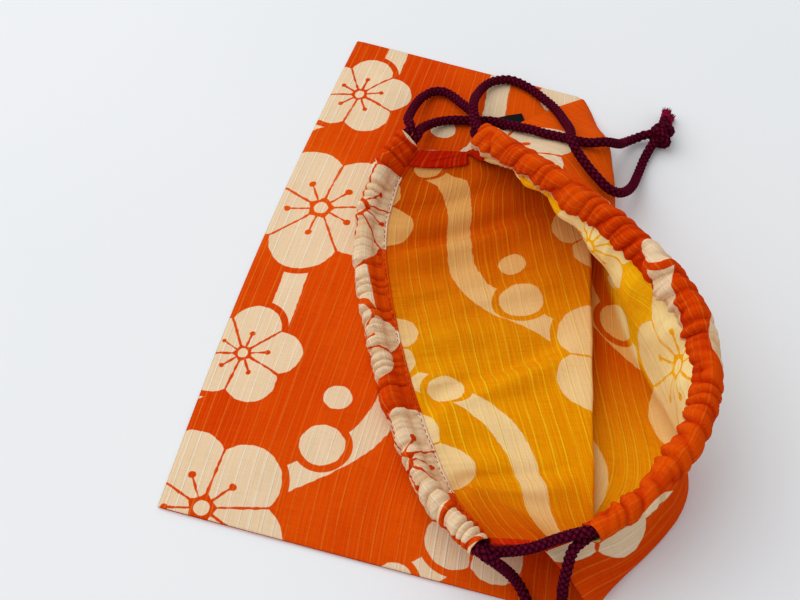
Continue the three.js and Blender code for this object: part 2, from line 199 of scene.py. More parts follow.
class MeshMaker:
    """Collects points and faces in the pouch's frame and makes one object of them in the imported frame."""

    def __init__(self, origin: Array) -> None:
        """Starts an empty mesh.

        Args:
            origin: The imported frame's coordinates, in metres, of the pouch frame's origin.
        """
        self.origin = origin
        self.points: list[Array] = []
        self.faces: list[Array] = []
        self.finishes: list[Array] = []
        self.cloth: list[Array] = []
        self.hollows: list[Array] = []
        self.count = 0

    def add(
        self,
        points: Array,
        faces: Array,
        finish: Union[int, Array] = 0,
        cloth: Union[Array, None] = None,
        hollow: Union[Array, None] = None,
    ) -> None:
        """Adds a set of points, in millimetres, with its four-cornered faces.

        Args:
            points: Points, one a row.
            faces: Corner numbers, four a row.
            finish: The finish of all faces, or one number for each.
            cloth: Places on the flat cloth, in millimetres, one a row.
            hollow: How deep each point lies between bunches of cloth, from 0 to 1, the mask of painted shade.
        """
        self.points.append(points)
        self.faces.append(faces + self.count)
        self.finishes.append(np.broadcast_to(np.asarray(finish, np.int32), (len(faces),)))
        self.cloth.append(np.zeros((len(points), 2)) if cloth is None else cloth)
        self.hollows.append(np.zeros(len(points)) if hollow is None else hollow)
        self.count += len(points)

    def make(self, name: str, materials: Sequence[bpy.types.Material]) -> bpy.types.Object:
        """Makes the object and links it to the scene.

        Args:
            name: The object's name.
            materials: The materials that the finish numbers stand for.

        Returns:
            The new object.
        """
        points = np.vstack(self.points) * MM + self.origin
        faces = np.vstack(self.faces)
        mesh = bpy.data.meshes.new(name)
        mesh.from_pydata(points.tolist(), [], faces.tolist())
        corners = np.zeros(len(mesh.loops), np.int32)
        mesh.loops.foreach_get("vertex_index", corners)
        layer = mesh.uv_layers.new(name="cloth")
        layer.data.foreach_set("uv", (np.vstack(self.cloth) * MM)[corners].astype(np.float32).ravel())
        hollows = mesh.attributes.new("hollow", "FLOAT", "POINT")
        hollows.data.foreach_set("value", np.concatenate(self.hollows).astype(np.float32))
        mesh.polygons.foreach_set("material_index", np.concatenate(self.finishes).astype(np.int32))
        mesh.polygons.foreach_set("use_smooth", np.ones(len(mesh.polygons), bool))
        for material in materials:
            mesh.materials.append(material)
        mesh.update()
        obj = bpy.data.objects.new(name, mesh)
        bpy.context.scene.collection.objects.link(obj)
        log.info("%s: %d faces", name, len(faces))
        return obj


def grid_faces(rows: int, columns: int, closed: bool = False) -> Array:
    """Faces of a grid of points, row by row.

    Args:
        rows: Rows of points.
        columns: Points in a row.
        closed: Whether each row is a ring.

    Returns:
        Corner numbers, four a row.
    """
    index = np.arange(rows * columns).reshape(rows, columns)
    if closed:
        index = np.hstack([index, index[:, :1]])
    corners = [index[:-1, :-1], index[1:, :-1], index[1:, 1:], index[:-1, 1:]]
    return np.stack(corners, axis=-1).reshape(-1, 4)


def sheet_faces(rows: int, columns: int, flipped: bool) -> tuple[Array, Array]:
    """Faces of a closed sheet: a grid of points, a second grid behind it, and the rim between them.

    Args:
        rows: Rows of points in each grid.
        columns: Points in a row.
        flipped: Whether all faces are turned over.

    Returns:
        Corner numbers, four a row, and for each face 0 on the first grid, 1 on the second, 2 on the rim.
    """
    index = np.arange(rows * columns).reshape(rows, columns)
    loop = np.concatenate([index[:-1, 0], index[-1, :-1], index[:0:-1, -1], index[0, :0:-1]])
    after = np.roll(loop, -1)
    rim = np.stack([after, loop, loop + index.size, after + index.size], axis=1)
    grid = grid_faces(rows, columns)
    if flipped:
        grid, rim = grid[:, ::-1], rim[:, ::-1]
    faces = np.concatenate([grid, grid[:, ::-1] + index.size, rim])
    return faces, np.repeat([0, 1, 2], [len(grid), len(grid), len(rim)])


def spin(degrees: float) -> Array:
    """The matrix that turns rows of points about z when they are multiplied by it."""
    cosine, sine = math.cos(math.radians(degrees)), math.sin(math.radians(degrees))
    return np.array([[cosine, sine, 0.0], [-sine, cosine, 0.0], [0.0, 0.0, 1.0]])


@dataclass(frozen=True)
class Braid:
    """A round braid of strands that cross one over, one under.

    Attributes:
        diameter: Thickness over the strands.
        strands: Strands that run each way round.
        pitch: Distance along the braid between strands.
        relief: Depth between the strands.
        sides: Points round the braid.
        step: Distance along the braid between rings of points.
        dip: Share by which a strand falls towards the places where it goes under.
        tip: Length over which an open end is rounded off.
        steep: How much of its length a line has to climb before its rings start from another side.
    """

    diameter: float = 5.0
    strands: int = 4
    pitch: float = 2.9
    relief: float = 0.8
    sides: int = 28
    step: float = 0.4
    dip: float = 0.5
    tip: float = 1.2
    steep: float = 0.9

    def swell(self, angle: Array, along: Array) -> Array:
        """How far the strands stand out.

        Args:
            angle: Angles round the braid.
            along: Places along it.

        Returns:
            Values from 0 between the strands to 1 on top of them.
        """
        round_ = self.strands * angle / (2 * math.pi)
        one, other = round_ + along / self.pitch, round_ - along / self.pitch
        over = (np.floor(one) + np.floor(other)) % 2 == 0
        a, b = 2 * (one % 1.0) - 1, 2 * (other % 1.0) - 1
        return np.where(over, (1 - a * a) * (1 - self.dip * b * b), (1 - b * b) * (1 - self.dip * a * a))

    def tube(self, path: Array, closed: bool = False) -> tuple[Array, Array, Array]:
        """A braided tube along an even path.

        Args:
            path: Points of the centre line.
            closed: Whether the path ends where it starts.

        Returns:
            Its points, its faces, and for each point how far the strands stand out with its place along.
        """
        run = np.gradient(path, axis=0)
        if closed:
            run = np.roll(path, -1, axis=0) - np.roll(path, 1, axis=0)
        run = unit(run)
        side = np.zeros_like(path)
        start = np.cross(run[0], UP if abs(run[0][2]) < self.steep else TO_MOUTH)
        side[0] = unit(start)
        for i in range(1, len(path)):
            side[i] = unit(side[i - 1] - run[i] * (side[i - 1] @ run[i]))
        other = np.cross(run, side)
        along = np.concatenate([[0.0], np.cumsum(np.linalg.norm(np.diff(path, axis=0), axis=1))])
        angle = np.linspace(0, 2 * math.pi, self.sides, endpoint=False)
        swell = self.swell(angle[None, :], along[:, None])
        radius = self.diameter / 2 - self.relief * (1 - swell)
        if not closed:
            inward = np.clip(np.minimum(along, along[-1] - along) / self.tip, 0.0, 1.0)
            radius = radius * np.sqrt(inward * (2 - inward) + 1e-4)[:, None]
        ring = np.cos(angle)[None, :, None] * side[:, None] + np.sin(angle)[None, :, None] * other[:, None]
        points = path[:, None] + ring * radius[..., None]
        faces = grid_faces(len(path), self.sides, closed=True)
        if closed:
            last = np.arange(self.sides) + (len(path) - 1) * self.sides
            first = np.arange(self.sides)
            joined = np.stack([last, first, np.roll(first, -1), np.roll(last, -1)], axis=1)
            faces = np.vstack([faces, joined])
        shade = np.stack([swell / MM, np.broadcast_to(along[:, None], swell.shape)], axis=-1)
        return points.reshape(-1, 3), faces, shade.reshape(-1, 2)


# Form of the pouch


@dataclass
class Lip:
    """The centre line of one casing, bowed from the chord between its two slits.

    Attributes:
        near: Its end at the near slit.
        far: Its end at the far slit.
        bows: Points between, each as share of the chord, bow from it and height.
        side: 1 where it bows towards the mouth, -1 where it bows towards the bottom fold.
        lean: How steeply the casing stands, in degrees, along the lip.
        fold: From the centre line out to the casing's fold.
        sewn: From the centre line back to the stitch line.
        half_thick: Half the casing's thickness.
        cords: From the centre line out to the middle of its two drawstrings.
        stack: How far the pair of drawstrings is turned out of the casing's plane, in degrees.
        turning: Shares of the lip, from either end, between which the pair comes to be turned.
        steps: Steps in which the line is measured.
        inset: How near to an end, as a share of the lip, its direction is still taken.
        nudge: How far before and after a place its direction is taken, as a share of the lip.
        table: Shares of the length, and the places on the curve that they stand for.
        knots: The points that the line passes.
        length: Its length.
    """

    near: Array
    far: Array
    bows: Sequence[Triple]
    side: int
    lean: Callable[[Array], Array]
    fold: float
    sewn: float
    half_thick: float
    cords: float
    stack: float = 0.0
    turning: Pair = (0.03, 0.12)
    steps: int = 1200
    inset: float = 0.003
    nudge: float = 0.002
    table: tuple[Array, Array] = field(init=False, repr=False)
    knots: Array = field(init=False, repr=False)
    length: float = field(init=False)

    def __post_init__(self) -> None:
        """Lays the line out and measures it."""
        chord = self.far - self.near
        away = self.side * unit(np.array([chord[1], -chord[0], 0.0]))
        between = [raised(self.near + chord * share, rise) + away * bow for share, bow, rise in self.bows]
        self.knots = np.array([self.near, *between, self.far])
        places = np.linspace(0, 1, self.steps + 1)
        steps = np.linalg.norm(np.diff(self._spline(places), axis=0), axis=1)
        along = np.concatenate([[0.0], np.cumsum(steps)])
        self.length = float(along[-1])
        self.table = (along / along[-1], places)

    def _spline(self, place: Array) -> Array:
        """A Catmull-Rom curve through the knots.

        Args:
            place: Places on the curve, from 0 to 1.

        Returns:
            Points of the curve.
        """
        knots = self.knots
        ends = np.vstack([2 * knots[0] - knots[1], knots, 2 * knots[-1] - knots[-2]])
        x = np.clip(place, 0, 1) * (len(knots) - 1)
        i = np.minimum(x.astype(int), len(knots) - 2)
        w = (x - i)[..., None]
        a, b, c, d = ends[i], ends[i + 1], ends[i + 2], ends[i + 3]
        square, cube = 2 * a - 5 * b + 4 * c - d, 3 * b - a - 3 * c + d
        return 0.5 * (2 * b + (c - a) * w + square * w**2 + cube * w**3)

    def at(self, t: Array) -> Array:
        """Points at shares of the lip's length."""
        return self._spline(np.interp(t, *self.table))

    def run(self, t: Array) -> Array:
        """Directions along the lip."""
        middle = np.clip(t, self.inset, 1 - self.inset)
        return unit(self.at(middle + self.nudge) - self.at(middle - self.nudge))

    def away(self, t: Array) -> Array:
        """Level directions out of the panel, across the lip."""
        run = self.run(t)
        return unit(np.stack([self.side * run[..., 1], -self.side * run[..., 0], 0 * run[..., 0]], axis=-1))

    def axis(self, t: Array) -> Array:
        """Directions from the stitch line to the casing's fold."""
        lean = np.radians(self.lean(np.asarray(t, float)))[..., None]
        return self.away(t) * np.cos(lean) + UP * np.sin(lean)

    def normal(self, t: Array) -> Array:
        """Directions through the casing."""
        return unit(np.cross(self.run(t), self.axis(t)))

    def pair(self, t: Array) -> tuple[Array, Array]:
        """Which way the two drawstrings lie beside each other, along the axis and the normal."""
        turned = math.radians(self.stack) * ease(np.minimum(t, 1 - t), *self.turning)
        return np.cos(turned), np.sin(turned)

    def strand(self, t: Array, offset: float) -> Array:
        """Points of a drawstring at a distance from the middle of the pair."""
        over, out = self.pair(t)
        level = self.at(t) + self.axis(t) * (self.cords + offset * over)[..., None]
        return level + self.normal(t) * (offset * out)[..., None]

    def stitch(self, t: Array) -> Array:
        """Points of the stitch line that closes the casing."""
        return self.at(t) - self.axis(t) * self.sewn


# Points of each side seam past the crease's corner, as shares of the cloth that is left from there

SEAM_TURNS = {
    End.NEAR: np.array([[0, 0.015, 0.179], [-0.194, 0.134, 0.269], [-0.363, 0.201, 0.388]]),
    End.FAR: np.array([[-0.117, -0.148, 0.063], [-0.205, -0.242, 0.078], [-0.367, -0.461, 0.082]]),
}


@dataclass
class Form:
    """Sizes of the pouch and how its two panels lie, in millimetres and degrees.

    Attributes:
        width: The flat pouch's width.
        height: Its height, from the bottom fold to the folds of the casings.
        turn_in: Cloth turned in at the top of a panel for its casing and hem.
        cloth: The thickness that the panels are laid out with.
        casing_width: From a casing's fold to its stitch line on the flat cloth.
        casing_half: Half a filled casing's thickness.
        cord: The drawstrings' diameter.
        cord_offset: From the middle of a pair of drawstrings to either one.
        creases: From the bottom fold to the crease, at the near and at the far seam.
        draw_in: How far those two seams are drawn in at the crease.
        bottom_bow: How far the bottom fold bows out.
        bottom_turn: How far along the cloth the bottom fold turns.
        pocket_rise: How far the front panel rises over the bottom fold.
        pocket_edge: From the bottom fold to where most of that rise is made.
        pocket_fullness: How full its rise is.
        pocket_power: How suddenly its rise ends at the side seams.
        bulge: How far the back panel lies past the crease, where it bulges most.
        bulge_middle: Share of the width where that is.
        bulge_spread: How wide the bulge is, as a share of the width.
        far_reach: How far the back panel lies past the crease beyond the bulge.
        far_zone: Shares of the width between which it comes to lie so far.
        crease_radius: Radius of the front panel's crease.
        ripples: Soft folds across the free end of a panel.
        ripple_depth: How deep they are.
        ripple_start: Where they start along the cloth.
        seam_zone: Share of the width over which a panel is drawn to its seam.
        slit_foot: Where the slits start along the cloth.
        front_floor: Height of the front panel at the bottom fold.
        front_lip: The front casing's lip.
        back_lip: The back casing's lip.
    """

    width: float = 280.0
    height: float = 252.0
    turn_in: float = 26.0
    cloth: float = 0.8
    casing_width: float = 19.0
    casing_half: float = 5.0
    cord: float = 5.0
    cord_offset: float = 2.75
    creases: Pair = (185.0, 124.0)
    draw_in: Pair = (3.0, 6.0)
    bottom_bow: float = 4.5
    bottom_turn: float = 0.012
    pocket_rise: float = 5.6
    pocket_edge: float = 28.0
    pocket_fullness: float = 1.3
    pocket_power: int = 8
    bulge: float = 36.0
    bulge_middle: float = 0.24
    bulge_spread: float = 0.17
    far_reach: float = 11.0
    far_zone: Pair = (0.2, 0.5)
    crease_radius: float = 1.3
    ripples: float = 10.0
    ripple_depth: float = 1.6
    ripple_start: float = 2.1
    seam_zone: float = 0.13
    slit_foot: float = 2.55
    front_floor: float = 1.28
    front_lip: Lip = field(init=False)
    back_lip: Lip = field(init=False)

    def __post_init__(self) -> None:
        """Lays out the two lips."""
        rest = self.front_floor + self.pocket_rise + self.cloth + self.casing_half + self.cloth
        near, far = self.corner(End.NEAR), self.corner(End.FAR)
        near_rest, far_rest = (self.height - crease for crease in self.creases)
        self.front_lip = Lip(
            near=near + near_rest * np.array([-0.724, 0.088, 0.463]),
            far=far + far_rest * np.array([-0.576, -0.555, 0.195]),
            bows=[
                (0.14, 14, rest + 6),
                (0.33, 22, rest + 0.4),
                (0.55, 26.5, rest),
                (0.77, 25.5, rest + 0.2),
                (0.92, 14.5, rest + 5),
            ],
            side=-1,
            lean=lambda t: 6 + 40 * (1 - ease(t, 0, 0.28)) + 34 * ease(t, 0.78, 1),
            fold=5.2,
            sewn=6.8,
            half_thick=4.4,
            cords=0.5,
            stack=62.0,
        )
        self.back_lip = Lip(
            near=near + near_rest * np.array([-0.137, 0.275, 0.612]),
            far=far + far_rest * np.array([-0.315, -0.487, 0.211]),
            bows=[(0.055, 27, 45), (0.19, 54, 51), (0.36, 61, 56), (0.56, 47.5, 55), (0.78, 23.5, 46)],
            side=1,
            lean=lambda t: 66 + 14 * ease(t, 0.5, 0.68) * (1 - ease(t, 0.84, 0.96)),
            fold=7.9,
            sewn=3.9,
            half_thick=3.0,
            cords=2.0,
        )

    def corner(self, end: End) -> Array:
        """The crease's corner at a side seam, on the table."""
        x = self.creases[end]
        return np.array([x, float(self.across(np.array(float(end)), np.array(x))), 0.0])

    def across(self, t: Array, x: Array) -> Array:
        """Width coordinate of a share of the flat width, drawn in a little towards the mouth."""
        near, far = (drawn * x / crease for drawn, crease in zip(self.draw_in, self.creases))
        return near + (self.width - far - near) * t

    def inside(self, t: Array) -> Array:
        """1 over most of the width, falling to 0 at the side seams."""
        return 1 - np.abs(2 * t - 1) ** self.pocket_power

    def bottom(self, t: Array) -> Array:
        """Where the bottom fold lies."""
        return -self.bottom_bow * np.sin(math.pi * t)

    def crease(self, t: Array) -> Array:
        """Where the front panel's crease lies."""
        near, far = self.creases
        return near + (far - near) * t

    def pocket(self, t: Array, x: Array) -> Array:
        """Height of the front panel over the table."""
        swell = 1 - np.exp(-((np.maximum(x, 0) / self.pocket_edge) ** self.pocket_fullness))
        return self.front_floor + self.pocket_rise * self.inside(t) * swell

    def flat_front(self, t: Array, share: Array) -> Array:
        """The flat part of the front panel."""
        x = self.bottom(t) + (self.crease(t) - self.bottom(t)) * share
        return np.stack([x, self.across(t, x), self.pocket(t, x)], axis=-1)

    def flat_back(self, t: Array, share: Array) -> Array:
        """The flat part of the back panel.

        Args:
            t: Shares of the width, from the near seam.
            share: Shares of the way from the bottom fold to where the panel leaves the table.

        Returns:
            Points of its middle surface.
        """
        start, end = self.far_zone
        bulge = self.bulge * np.exp(-(((t - self.bulge_middle) / self.bulge_spread) ** 2))
        bulge = bulge + self.far_reach * np.clip((t - start) / (end - start), 0, 1)
        reach = self.crease(t) + self.inside(t) * bulge
        x = self.bottom(t) + (reach - self.bottom(t)) * share
        return np.stack([x, self.across(t, x), 0 * x + self.cloth / 2], axis=-1)

    def seam(self, end: End, q: Array, stitch: Array) -> Array:
        """A side seam: flat to the crease's corner, up to the foot of the slit, then to a casing's end.

        Args:
            end: Which seam.
            q: How far along the cloth, as for Panel.point.
            stitch: The casing's end.

        Returns:
            Points along the seam.
        """
        corner = self.corner(end)
        rest = self.height - self.creases[end]
        turn = [raised(corner, self.cloth), *(corner + rest * SEAM_TURNS[end])]
        flat = raised(self.flat_front(0 * q + end, np.clip(q, 0, 1)), self.cloth)
        bend = bezier(*turn, np.clip((q - 1) / (self.slit_foot - 1), 0, 1))
        slit = np.clip((q - self.slit_foot) / (3 - self.slit_foot), 0, 1)[..., None]
        edge = turn[3] + (stitch - turn[3]) * slit
        return np.where((q <= 1)[..., None], flat, np.where((q > self.slit_foot)[..., None], edge, bend))


class Panel(ABC):
    """One panel of the pouch, from the bottom fold (q 0) to its casing's stitch line (q 3).

    Attributes:
        outward: 1 where the printed face of the flat part is up, -1 where it is down.
        form: The pouch's form.
        lip: The panel's lip.
    """

    outward: int

    def __init__(self, form: Form, lip: Lip) -> None:
        """Takes the pouch's form and the panel's lip."""
        self.form = form
        self.lip = lip

    @abstractmethod
    def plain(self, t: Array, q: Array) -> Array:
        """The panel without its ripples and seams.

        Args:
            t: Shares of the width, from the near seam.
            q: Places along the cloth, as for point.

        Returns:
            Points of the middle surface.
        """

    @abstractmethod
    def swell(self, t: Array, q: Array) -> Array:
        """Where the ripples move the panel."""

    def ripple(self, t: Array, q: Array) -> Array:
        """Soft folds across the free end of the panel.

        Args:
            t: Shares of the width, from the near seam.
            q: Places along the cloth, as for point.

        Returns:
            How far they move it.
        """
        form = self.form
        left = np.clip((3 - q) / (3 - form.ripple_start), 0, 1)
        wave = np.cos(2 * math.pi * form.ripples * t)
        return form.ripple_depth * hump(left) * form.inside(t) * wave

    def point(self, t: Array, q: Array) -> Array:
        """The panel's middle surface.

        Args:
            t: Shares of the width, from the near seam.
            q: Places along the cloth: 0 to 1 flat, then on to the stitch line at 3.

        Returns:
            Points of the surface.
        """
        t, q = np.broadcast_arrays(np.asarray(t, float), np.asarray(q, float))
        points = self.plain(t, q) + self.swell(t, q)
        for end in End:
            pull = 1 - ease(np.abs(t - end), 0, self.form.seam_zone)
            stitch = self.lip.stitch(np.array([float(end)]))[0]
            shift = self.form.seam(end, q, stitch) - self.plain(0 * t + end, q)
            points = points + shift * pull[..., None]
        fold = 1 - ease(q, 0, self.form.bottom_turn)
        points[..., 2] += (self.form.cloth - points[..., 2]) * fold
        return points


class FrontPanel(Panel):
    """The front panel, folded back along a crease with its inner face up.

    Attributes:
        leave_share: How far the cloth keeps level after the crease, as a share of its way to the casing.
        leave_rise: How much of its climb it has made by then.
        arrive_share: How far before the casing it turns into line with it, as a share of its way.
        arrive_drop: How much of its climb is left there.
    """

    outward = 1
    leave_share = 0.33
    leave_rise = 0.1
    arrive_share = 0.3
    arrive_drop = 0.6

    def plain(self, t: Array, q: Array) -> Array:
        """The panel without its ripples and seams.

        Args:
            t: Shares of the width, from the near seam.
            q: Places along the cloth: flat to 1, the crease to 2, then back to the casing.

        Returns:
            Points of the middle surface.
        """
        form, lip = self.form, self.lip
        flat = form.flat_front(t, np.clip(q, 0, 1))
        crease = form.flat_front(t, np.ones_like(t))
        angle = (np.clip(q, 1, 2) - 1.5) * math.pi
        radius = form.crease_radius
        turn = crease + radius * np.stack([np.cos(angle), 0 * angle, 1 + np.sin(angle)], axis=-1)
        start = crease + UP * 2 * radius
        end = lip.stitch(t)
        run = end - start
        climb = run[..., 2]
        leave = raised(start + run * self.leave_share, start[..., 2] + self.leave_rise * climb + form.cloth)
        arrive = end - lip.away(t) * self.arrive_share * np.linalg.norm(run, axis=-1, keepdims=True)
        arrive[..., 2] -= self.arrive_drop * climb
        back = bezier(start, leave, arrive, end, np.clip(q - 2, 0, 1))
        return np.where((q > 2)[..., None], back, np.where((q > 1)[..., None], turn, flat))

    def swell(self, t: Array, q: Array) -> Array:
        """Where the ripples move the panel."""
        return UP * self.ripple(t, q)[..., None]


class BackPanel(Panel):
    """The back panel, flat on the table and then up to its lip, folding over at the far side.

    Attributes:
        foot_reach: How far the wall runs on along the table before it climbs.
        flap_zone: Shares of the width between which it comes to fold over.
        flap_rise: How soon it climbs there, as a share of the lip's height.
        flap_swell: How far it is rounded up there.
        lean: How steeply it meets the lip, in degrees.
        slack: How much less steeply it does so on the far side, in degrees.
        slack_zone: Shares of the width between which that comes in.
        straight: How far it is in line with the lip, as a share of the lip's height.
        end_zone: Shares of the width between which it leans on the far seam instead.
        end_share: How far from the lip it leans so, as a share of the way to its foot.
        end_height: The height there, as a share of the lip's.
    """

    outward = -1
    foot_reach = 15.0
    flap_zone = (0.55, 0.9)
    flap_rise = 0.5
    flap_swell = 10.0
    lean = 66.0
    slack = 20.0
    slack_zone = (0.45, 0.65)
    straight = 0.55
    end_zone = (0.86, 1.0)
    end_share = 0.25
    end_height = 0.62

    def plain(self, t: Array, q: Array) -> Array:
        """The panel without its ripples and seams.

        Args:
            t: Shares of the width, from the near seam.
            q: Places along the cloth: flat to 1, then up the wall to the casing.

        Returns:
            Points of the middle surface.
        """
        form, lip = self.form, self.lip
        flat = form.flat_back(t, np.clip(q, 0, 1))
        foot = form.flat_back(t, np.ones_like(t))
        end = lip.stitch(t)
        flap = ease(t, *self.flap_zone)[..., None]
        height = end[..., 2:]
        reach = TO_MOUTH * (self.foot_reach * form.inside(t))[..., None]
        leave = foot + reach + UP * self.flap_rise * flap * height
        lean = np.radians(self.lean - self.slack * ease(t, *self.slack_zone))[..., None]
        upright = end - (lip.away(t) * np.cos(lean) + UP * np.sin(lean)) * self.straight * height
        leaning = raised(end + (foot - end) * self.end_share, self.end_height * end[..., 2])
        arrive = upright + (leaning - upright) * ease(t, *self.end_zone)[..., None]
        share = np.clip((q - 1) / 2, 0, 1)
        wall = bezier(foot, leave, arrive, end, share)
        wall = wall + UP * self.flap_swell * flap * (form.inside(t) * hump(share))[..., None]
        return np.where((q > 1)[..., None], wall, flat)

    def swell(self, t: Array, q: Array) -> Array:
        """Where the ripples move the panel."""
        return self.lip.away(t) * self.ripple(t, q)[..., None]


# Finishes

Operand = Union["Signal", float]

# Sockets of a Mix node that mixes colours

MIX_FACTOR = 0
MIX_FIRST = 6
MIX_SECOND = 7
MIX_RESULT = 2


class Signal:
    """A shader socket that can be used in plain arithmetic."""

    def __init__(self, graph: "Graph", socket: bpy.types.NodeSocket) -> None:
        """Wraps a socket of a graph."""
        self.graph = graph
        self.socket = socket

    def __add__(self, other: Operand) -> "Signal":
        """self + other."""
        return self.graph.maths("ADD", self, other)

    def __radd__(self, other: Operand) -> "Signal":
        """other + self."""
        return self.graph.maths("ADD", other, self)

    def __sub__(self, other: Operand) -> "Signal":
        """self - other."""
        return self.graph.maths("SUBTRACT", self, other)

    def __rsub__(self, other: Operand) -> "Signal":
        """other - self."""
        return self.graph.maths("SUBTRACT", other, self)

    def __mul__(self, other: Operand) -> "Signal":
        """self * other."""
        return self.graph.maths("MULTIPLY", self, other)

    def __rmul__(self, other: Operand) -> "Signal":
        """other * self."""
        return self.graph.maths("MULTIPLY", other, self)

    def __truediv__(self, other: Operand) -> "Signal":
        """self / other."""
        return self.graph.maths("DIVIDE", self, other)

    def __rtruediv__(self, other: Operand) -> "Signal":
        """other / self."""
        return self.graph.maths("DIVIDE", other, self)

    def __abs__(self) -> "Signal":
        """The value without its sign."""
        return self.graph.maths("ABSOLUTE", self)

    def __mod__(self, other: Operand) -> "Signal":
        """What is left over self // other."""
        return self.graph.maths("FLOORED_MODULO", self, other)

    def __pow__(self, other: Operand) -> "Signal":
        """self to a power."""
        return self.graph.maths("POWER", self, other)

    def least(self, other: Operand) -> "Signal":
        """The smaller of two values."""
        return self.graph.maths("MINIMUM", self, other)

    def most(self, other: Operand) -> "Signal":
        """The larger of two values."""
        return self.graph.maths("MAXIMUM", self, other)

    def floor(self) -> "Signal":
        """The whole number below."""
        return self.graph.maths("FLOOR", self)

    def between(self, low: float, high: float) -> "Signal":
        """A smooth step from 0 at low to 1 at high."""
        node = self.graph.node(
            "ShaderNodeMapRange",
            {"Value": self, "From Min": low, "From Max": high},
            interpolation_type="SMOOTHSTEP",
        )
        return Signal(self.graph, node.outputs[0])


class Graph:
    """The node tree of one material."""

    def __init__(self, name: str) -> None:
        """Starts a material with one Principled surface.

        Args:
            name: The material's name.
        """
        self.material = bpy.data.materials.new(name)
        self.material.use_nodes = True
        self.tree = self.material.node_tree
        self.surface = next(n for n in self.tree.nodes if n.type == "BSDF_PRINCIPLED")

    def node(
        self,
        kind: str,
        inputs: Union[Mapping[Union[str, int], object], None] = None,
        **settings: object,
    ) -> bpy.types.Node:
        """Adds a node.

        Args:
            kind: The node's type.
            inputs: Signals or constants for its sockets, by name or number.
            **settings: Its properties.

        Returns:
            The node.
        """
        node = self.tree.nodes.new(kind)
        for key, value in settings.items():
            setattr(node, key, value)
        for key, value in (inputs or {}).items():
            self.feed(node.inputs[key], value)
        return node

    def feed(self, socket: bpy.types.NodeSocket, value: object) -> None:
        """Links a signal to a socket, or sets the socket to a constant.

        Args:
            socket: The input socket.
            value: A signal, a colour of three parts, or a constant of the socket's own kind.
        """
        if isinstance(value, Signal):
            self.tree.links.new(value.socket, socket)
        elif isinstance(value, tuple) and len(value) == 3 and socket.type == "RGBA":
            socket.default_value = (*value, 1.0)
        else:
            socket.default_value = value

    def maths(self, operation: str, *operands: Operand) -> Signal:
        """One step of arithmetic."""
        node = self.node("ShaderNodeMath", dict(enumerate(operands)), operation=operation)
        return Signal(self, node.outputs[0])

    def mix(self, factor: Operand, first: object, second: object, blend: str = "MIX") -> Signal:
        """A colour between two colours."""
        inputs = {MIX_FACTOR: factor, MIX_FIRST: first, MIX_SECOND: second}
        node = self.node("ShaderNodeMix", inputs, data_type="RGBA", blend_type=blend)
        return Signal(self, node.outputs[MIX_RESULT])

    def vector(self, x: Operand, y: Operand, z: Operand = 0.0) -> Signal:
        """A vector of three values."""
        return Signal(self, self.node("ShaderNodeCombineXYZ", {0: x, 1: y, 2: z}).outputs[0])

    def grain(self, across: Signal, along: Signal, scales: Pair, detail: float = 1.0) -> Signal:
        """Soft noise with a scale of its own each way."""
        return self.noise(self.vector(across * scales[0], along * scales[1]), 1.0, detail)

    def noise(self, place: Signal, scale: float, detail: float = 2.0) -> Signal:
        """Soft noise, about 0.3 to 0.7."""
        node = self.node("ShaderNodeTexNoise", {"Vector": place, "Scale": scale, "Detail": detail})
        return Signal(self, node.outputs[0])

    def chance(self, number: Signal) -> Signal:
        """A value from 0 to 1 that is fixed for each number."""
        node = self.node("ShaderNodeTexWhiteNoise", {"W": number}, noise_dimensions="1D")
        return Signal(self, node.outputs[0])

    def cloth_place(self) -> tuple[Signal, Signal]:
        """Place on the flat cloth, in metres: across it and along it."""
        uv = self.node("ShaderNodeUVMap", uv_map="cloth").outputs[0]
        parts = self.node("ShaderNodeSeparateXYZ", {0: Signal(self, uv)})
        return Signal(self, parts.outputs[0]), Signal(self, parts.outputs[1])

    def hollow(self) -> Signal:
        """How deep the cloth lies between the bunches of a casing, from 0 to 1, the mask of the painted shade
        in its creases.
        """
        return Signal(self, self.node("ShaderNodeAttribute", attribute_name="hollow").outputs["Fac"])

    def object_place(self) -> Signal:
        """Place in the object, in metres."""
        return Signal(self, self.node("ShaderNodeTexCoord").outputs["Object"])

    def bump(self, height: Signal, depth: float, strength: float = 1.0) -> Signal:
        """A normal bent by a height map."""
        node = self.node("ShaderNodeBump", {"Height": height, "Distance": depth, "Strength": strength})
        return Signal(self, node.outputs[0])

    def finish(self, **inputs: object) -> bpy.types.Material:
        """Feeds the surface's sockets.

        Args:
            **inputs: Values by the sockets' names, written with underscores for spaces.

        Returns:
            The material.
        """
        for key, value in inputs.items():
            self.feed(self.surface.inputs[key.replace("_", " ")], value)
        return self.material


def srgb(red: float, green: float, blue: float) -> Colour:
    """A linear colour from 0 to 255 display values."""
    parts = [c / 255 for c in (red, green, blue)]
    return tuple(c / 12.92 if c <= 0.04045 else ((c + 0.055) / 1.055) ** 2.4 for c in parts)


